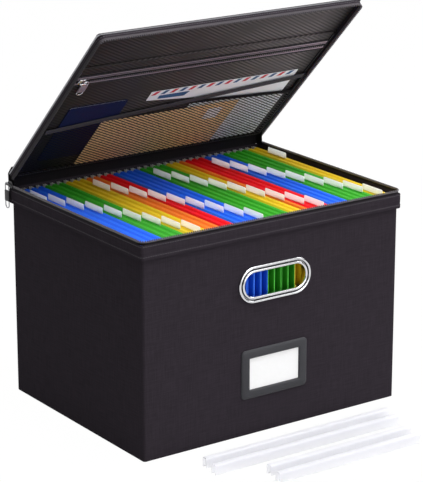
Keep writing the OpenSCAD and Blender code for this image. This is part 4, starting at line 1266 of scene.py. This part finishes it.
def folder_shape(x, number, room):
    """One hanging folder: card bent round both bars and under the bottom. Its leaves stray
    by w = wave sin(pi h) sin(2 pi y / L + phase), where h runs from the hem down to the
    fold, and spread by belly k k (3 - 2 k), where k rises from 0 to 1 over the 5 mm under
    the bars and falls to 0 again over the last 40 mm. room gives the share of the belly
    that the left and the right leaf may take."""
    low, high = box_mm("right_orange_folders")
    card = mm("card")
    half, top, foot = (high[0] - low[0] - card) / 2, high[2] - card / 2, low[2] + card / 2
    inner, hem = half - 1.8, high[2] - 11
    left = [(-inner, hem, 0), (-inner, top, 0.75), (-half, top, 0.75), (-half, top - 1.6, 0),
            (-half, top - 2.8, 0), (-half, top - 5, 0), (-half, foot, 1.8)]
    corners = left + [(-x, z, r) for x, z, r in left[::-1]]
    outline = ribbon(corners, card, 26.0, 0.6)
    shape = bent_strip(outline, np.linspace(low[1], high[1], 13), (0, 2, 1))
    points, faces = shape
    down = np.clip((hem - points[:, 2]) / (hem - low[2]), 0, 1)
    side = np.sign(points[:, 0])
    sway = np.sin(2 * math.pi * points[:, 1] / (high[1] - low[1]) + 2.4 * number)
    ramp = np.minimum(np.clip((high[2] - points[:, 2]) / 5, 0, 1),
                      np.clip((points[:, 2] - low[2]) / 40, 0, 1))
    leaf = np.clip((np.abs(points[:, 0]) - inner) / (half - inner), 0, 1)
    belly = mm("belly") * np.where(side < 0, *room) * side * leaf * ramp * ramp * (3 - 2 * ramp)
    points[:, 0] += x + mm("wave") * np.sin(math.pi * down) * sway + belly
    return points, faces


def make_folders():
    """Folders of each shade, and the bars, which keep the frame's shapes."""
    number = 0
    # The groups slide 2.8 mm, so where two groups meet the leaves take less room
    tight = 0.37
    for group, shades in GROUPS.items():
        first, last = number, number + sum(count for shade, count in shades) - 1
        for shade, count in shades:
            node_name = f"{group}_{shade}_folders"
            shapes = []
            for x in folder_places(node_name, count):
                room = (tight if number == first and group != "left" else 1.0,
                        tight if number == last and group != "right" else 1.0)
                shapes.append(folder_shape(x, number, room))
                number += 1
            piece(f"{group}_{shade}_folder_cards", join(*shapes), group + "_folders", shade,
                  node_name)
        dress("folder_bar", group + "_folder_bars")


def make_tabs():
    """Tabs: a clear sleeve with rounded upper corners and a slip of paper in it. Their
    places step along the folders and start again after each row."""
    number, tab_wide, wide, per_row = 0, 40.0, 42.0, 9
    for group, shades in GROUPS.items():
        low, high = box_mm(group + "_folder_tabs")
        tall = high[2] - low[2]
        pitch = (high[1] - low[1] - tab_wide + 8) / (per_row - 1)
        sleeve = plate([(0, -1.5, 0.5), (wide, -1.5, 0.5), (wide - 0.6, tall, 1.2),
                        (0.6, tall, 1.2)], soft_rings(-0.5, 0.5, 0.2))
        slip = plate([(1.6, 0.2, 0.3), (wide - 1.6, 0.2, 0.3), (wide - 2, tall - 0.9, 0.6),
                      (2, tall - 0.9, 0.6)], [(0, -0.2), (0, 0.2)])
        origins = []
        for shade, count in shades:
            for x in folder_places(f"{group}_{shade}_folders", count):
                origins.append((x - 1.7, high[1] + 1 - pitch * (number % per_row), low[2]))
                number += 1
        for name, shape, *rest in (("sleeves", sleeve, "tab_sleeve", group + "_folder_tabs"),
                                   ("slips", slip, "tab_paper")):
            placed = join(*[moved(shape, FACING_LEFT, origin) for origin in origins])
            piece(f"{group}_tab_{name}", placed, group + "_folders", *rest)


def make_slides():
    """Loose clear slides: a channel with a rounded back and lips turned in a little."""
    wide, inset, margin = 9.0, 0.5, 0.1
    for name in ("long_slides", "short_slides"):
        points = node_points(name)
        low, high = points.min(axis=0), points.max(axis=0)
        tall = high[2] - low[2]
        shapes = []
        for front in (low[1], high[1] - wide):
            own = points[(points[:, 1] > front - margin) & (points[:, 1] < front + wide + margin)]
            half = [(front + wide - inset, 0.1, 0), (front + wide - inset, tall - 0.5, 1.6),
                    (front + inset, tall - 0.5, 1.6), (front + inset, 0.1, 0)]
            stations = np.linspace(own[:, 0].max(), own[:, 0].min(), 8)
            shapes.append(bent_strip(ribbon(half, 1.0, bend=0.25), stations, (1, 2, 0)))
        piece(name + "_extrusion", join(*shapes), "box", "clear_plastic", name)


# Camera, floor and light

def make_camera():
    """Camera at the photograph's viewing angle: 35 degrees to the left of the front and 17
    degrees up, aimed at a point inside the box."""
    azimuth, elevation = math.radians(-35.05), math.radians(17.14)
    distance, focal_px, image_height, sensor = 2.9071, 2190.5, 482, 36.0
    target = np.array([0.01217, 0.00047, 0.21174])
    way = np.array([math.sin(azimuth) * math.cos(elevation),
                    -math.cos(azimuth) * math.cos(elevation), math.sin(elevation)])
    data = bpy.data.cameras.new("photo_camera")
    data.sensor_width, data.sensor_fit = sensor, "AUTO"
    data.lens = focal_px * sensor / image_height
    data.clip_end = 100
    camera = bpy.data.objects.new("photo_camera", data)
    camera.location = target + distance * way
    camera.rotation_euler = (math.pi / 2 - elevation, 0, azimuth)
    bpy.context.collection.objects.link(camera)
    bpy.context.scene.camera = camera


def area_light(name, azimuth, elevation, distance, size, power):
    """Square lamp that faces the box."""
    a, e, aim = math.radians(azimuth), math.radians(elevation), 0.2
    data = bpy.data.lights.new(name, "AREA")
    data.size, data.energy = size, power
    lamp = bpy.data.objects.new(name, data)
    lamp.location = (distance * math.sin(a) * math.cos(e), -distance * math.cos(a) * math.cos(e),
                     aim + distance * math.sin(e))
    lamp.rotation_euler = (math.pi / 2 - e, 0, a)
    bpy.context.collection.objects.link(lamp)


def ray_is(tree, *kinds):
    """1 where the ray is of one of the kinds, and 0 elsewhere."""
    path = node(tree, "LightPath").outputs
    shown = path[f"Is {kinds[0]} Ray"]
    for kind in kinds[1:]:
        shown = node(tree, "Math", {0: shown, 1: path[f"Is {kind} Ray"]},
                     operation="MAXIMUM").outputs[0]
    return shown


def make_studio():
    """White floor that keeps a soft shadow, white backdrop and four soft lamps."""
    size, below = 4.0, -0.0003
    mesh = bpy.data.meshes.new("floor")
    corners = [(-size, -size), (size, -size), (size, size), (-size, size)]
    mesh.from_pydata([(x, y, below) for x, y in corners], [], [(0, 1, 2, 3)])
    floor = bpy.data.objects.new("floor", mesh)
    bpy.context.collection.objects.link(floor)
    made, tree, shader = surface("white studio floor", linear("#b3b3b3"), 0.9)
    white = node(tree, "Emission", {"Color": (1, 1, 1, 1), "Strength": 1.02})
    # Most of what is seen of the floor is its white; the rest keeps the shadow
    seen = ray_is(tree, "Camera", "Transmission", "Glossy")
    share = node(tree, "Math", {0: seen, 1: 0.97}, operation="MULTIPLY").outputs[0]
    node(tree, "MixShader", {0: share, 1: shader.outputs[0], 2: white.outputs[0]},
         tree.nodes["Material Output"].inputs["Surface"])
    mesh.materials.append(made)
    world = bpy.data.worlds.new("studio")
    world.use_nodes = True
    bpy.context.scene.world = world
    tree = world.node_tree
    background = tree.nodes["Background"]
    background.inputs["Color"].default_value = (1, 1, 1, 1)
    way = node(tree, "SeparateXYZ", {0: node(tree, "TexCoord").outputs["Generated"]}).outputs
    aside = node(tree, "Math", {0: way["X"]}, operation="ABSOLUTE").outputs[0]
    # Metal mirrors a white backdrop in front and behind, and a dark one to both sides
    mirrored = node(tree, "MapRange", {"Value": aside, "From Min": 0.5, "From Max": 0.8,
                                       "To Min": 1.0, "To Max": 0.03}).outputs[0]
    lit = node(tree, "Mix", {0: ray_is(tree, "Glossy"), 2: 0.36, 3: mirrored}).outputs[0]
    node(tree, "Mix", {0: ray_is(tree, "Camera", "Transmission"), 2: lit, 3: 1.0},
         background.inputs["Strength"])
    for name, azimuth, elevation, distance, across, power in (
            ("key", 25, 45, 2.6, 1.4, 17), ("low", 12, 3, 2.6, 1.2, 21),
            ("top", -10, 80, 2.4, 1.6, 50), ("side", 78, 33, 2.6, 1.2, 30)):
        area_light(name, azimuth, elevation, distance, across, power)
    bpy.context.scene.view_settings.view_transform = "Standard"


# Operators

class Step(bpy.types.Operator):
    """One step of the making"""
    bl_options = {"REGISTER", "UNDO"}
    makers = ()

    def execute(self, context):
        """Runs the step's makers in order; an error in one stops the script."""
        for maker in self.makers:
            maker()
        return {"FINISHED"}


def step(name, title, description, *makers):
    """Operator class of one step."""
    return type(f"FILEBOX_OT_{name}", (Step,), {
        "bl_idname": f"filebox.{name}", "bl_label": title, "__doc__": description,
        "makers": makers})


STEPS = [
    step("camera", "Camera", "Camera at the photograph's viewing angle", make_camera),
    step("studio", "Studio", "Floor, backdrop and lamps", make_studio),
    step("walls", "Walls", "Cloth on the walls and the boards inside", make_wall_cloth,
         make_boards),
    step("rim", "Rim", "Cloth rim with its zip tape and teeth", make_rim, make_rim_zip),
    step("hinge", "Hinge cloth", "Cloth between the rim and the lid", make_hinge_cloth),
    step("hand_holes", "Hand holes", "Metal rings and backing plates", make_hand_holes),
    step("label", "Label holder", "Label holder and its card", make_label_holder),
    step("lid", "Lid", "Covered lid, its band, piping, tape and teeth", make_lid_cover,
         make_lid_band),
    step("zip_pocket", "Zipped pocket", "Lining, pocket and its zip", make_lining,
         make_pocket_cloths, make_pocket_zip),
    step("open_pocket", "Open pocket", "Net, bindings and seam strips", make_open_pocket),
    step("papers", "Papers", "Booklet, envelopes and papers", make_booklet,
         make_striped_envelope, make_papers),
    step("main_slider", "Main slider", "Slider and pull of the long zip", make_main_slider),
    step("pocket_slider", "Pocket slider", "Slider and pull of the pocket zip",
         make_pocket_slider),
    step("folders", "Folders", "Hanging folders, their bars and tabs", make_folders, make_tabs),
    step("slides", "Clear slides", "Loose clear slides", make_slides),
]


class FILEBOX_PT_panel(bpy.types.Panel):
    """Settings and steps of the file box"""
    bl_label = "File box"
    bl_idname = "FILEBOX_PT_panel"
    bl_space_type = "VIEW_3D"
    bl_region_type = "UI"
    bl_category = "File box"

    def draw(self, context):
        """Lists the settings, then a button for each step."""
        for group in (context.scene.file_box_sizes, context.scene.file_box_colours):
            for key in group.bl_rna.properties.keys():
                if key not in ("rna_type", "name"):
                    self.layout.prop(group, key)
        for made in STEPS:
            self.layout.operator(made.bl_idname)


CLASSES = [FileBoxSizes, FileBoxColours, *STEPS, FILEBOX_PT_panel]


def register():
    """Registers the classes and puts the settings on the scene."""
    for made in CLASSES:
        bpy.utils.register_class(made)
    bpy.types.Scene.file_box_sizes = bpy.props.PointerProperty(type=FileBoxSizes)
    bpy.types.Scene.file_box_colours = bpy.props.PointerProperty(type=FileBoxColours)


def unregister():
    """Takes the settings and the classes away again."""
    del bpy.types.Scene.file_box_colours
    del bpy.types.Scene.file_box_sizes
    for made in reversed(CLASSES):
        bpy.utils.unregister_class(made)


def main():
    """Registers and runs every step."""
    register()
    for made in STEPS:
        getattr(bpy.ops.filebox, made.bl_idname.split(".")[1])()


if __name__ == "__main__":
    main()
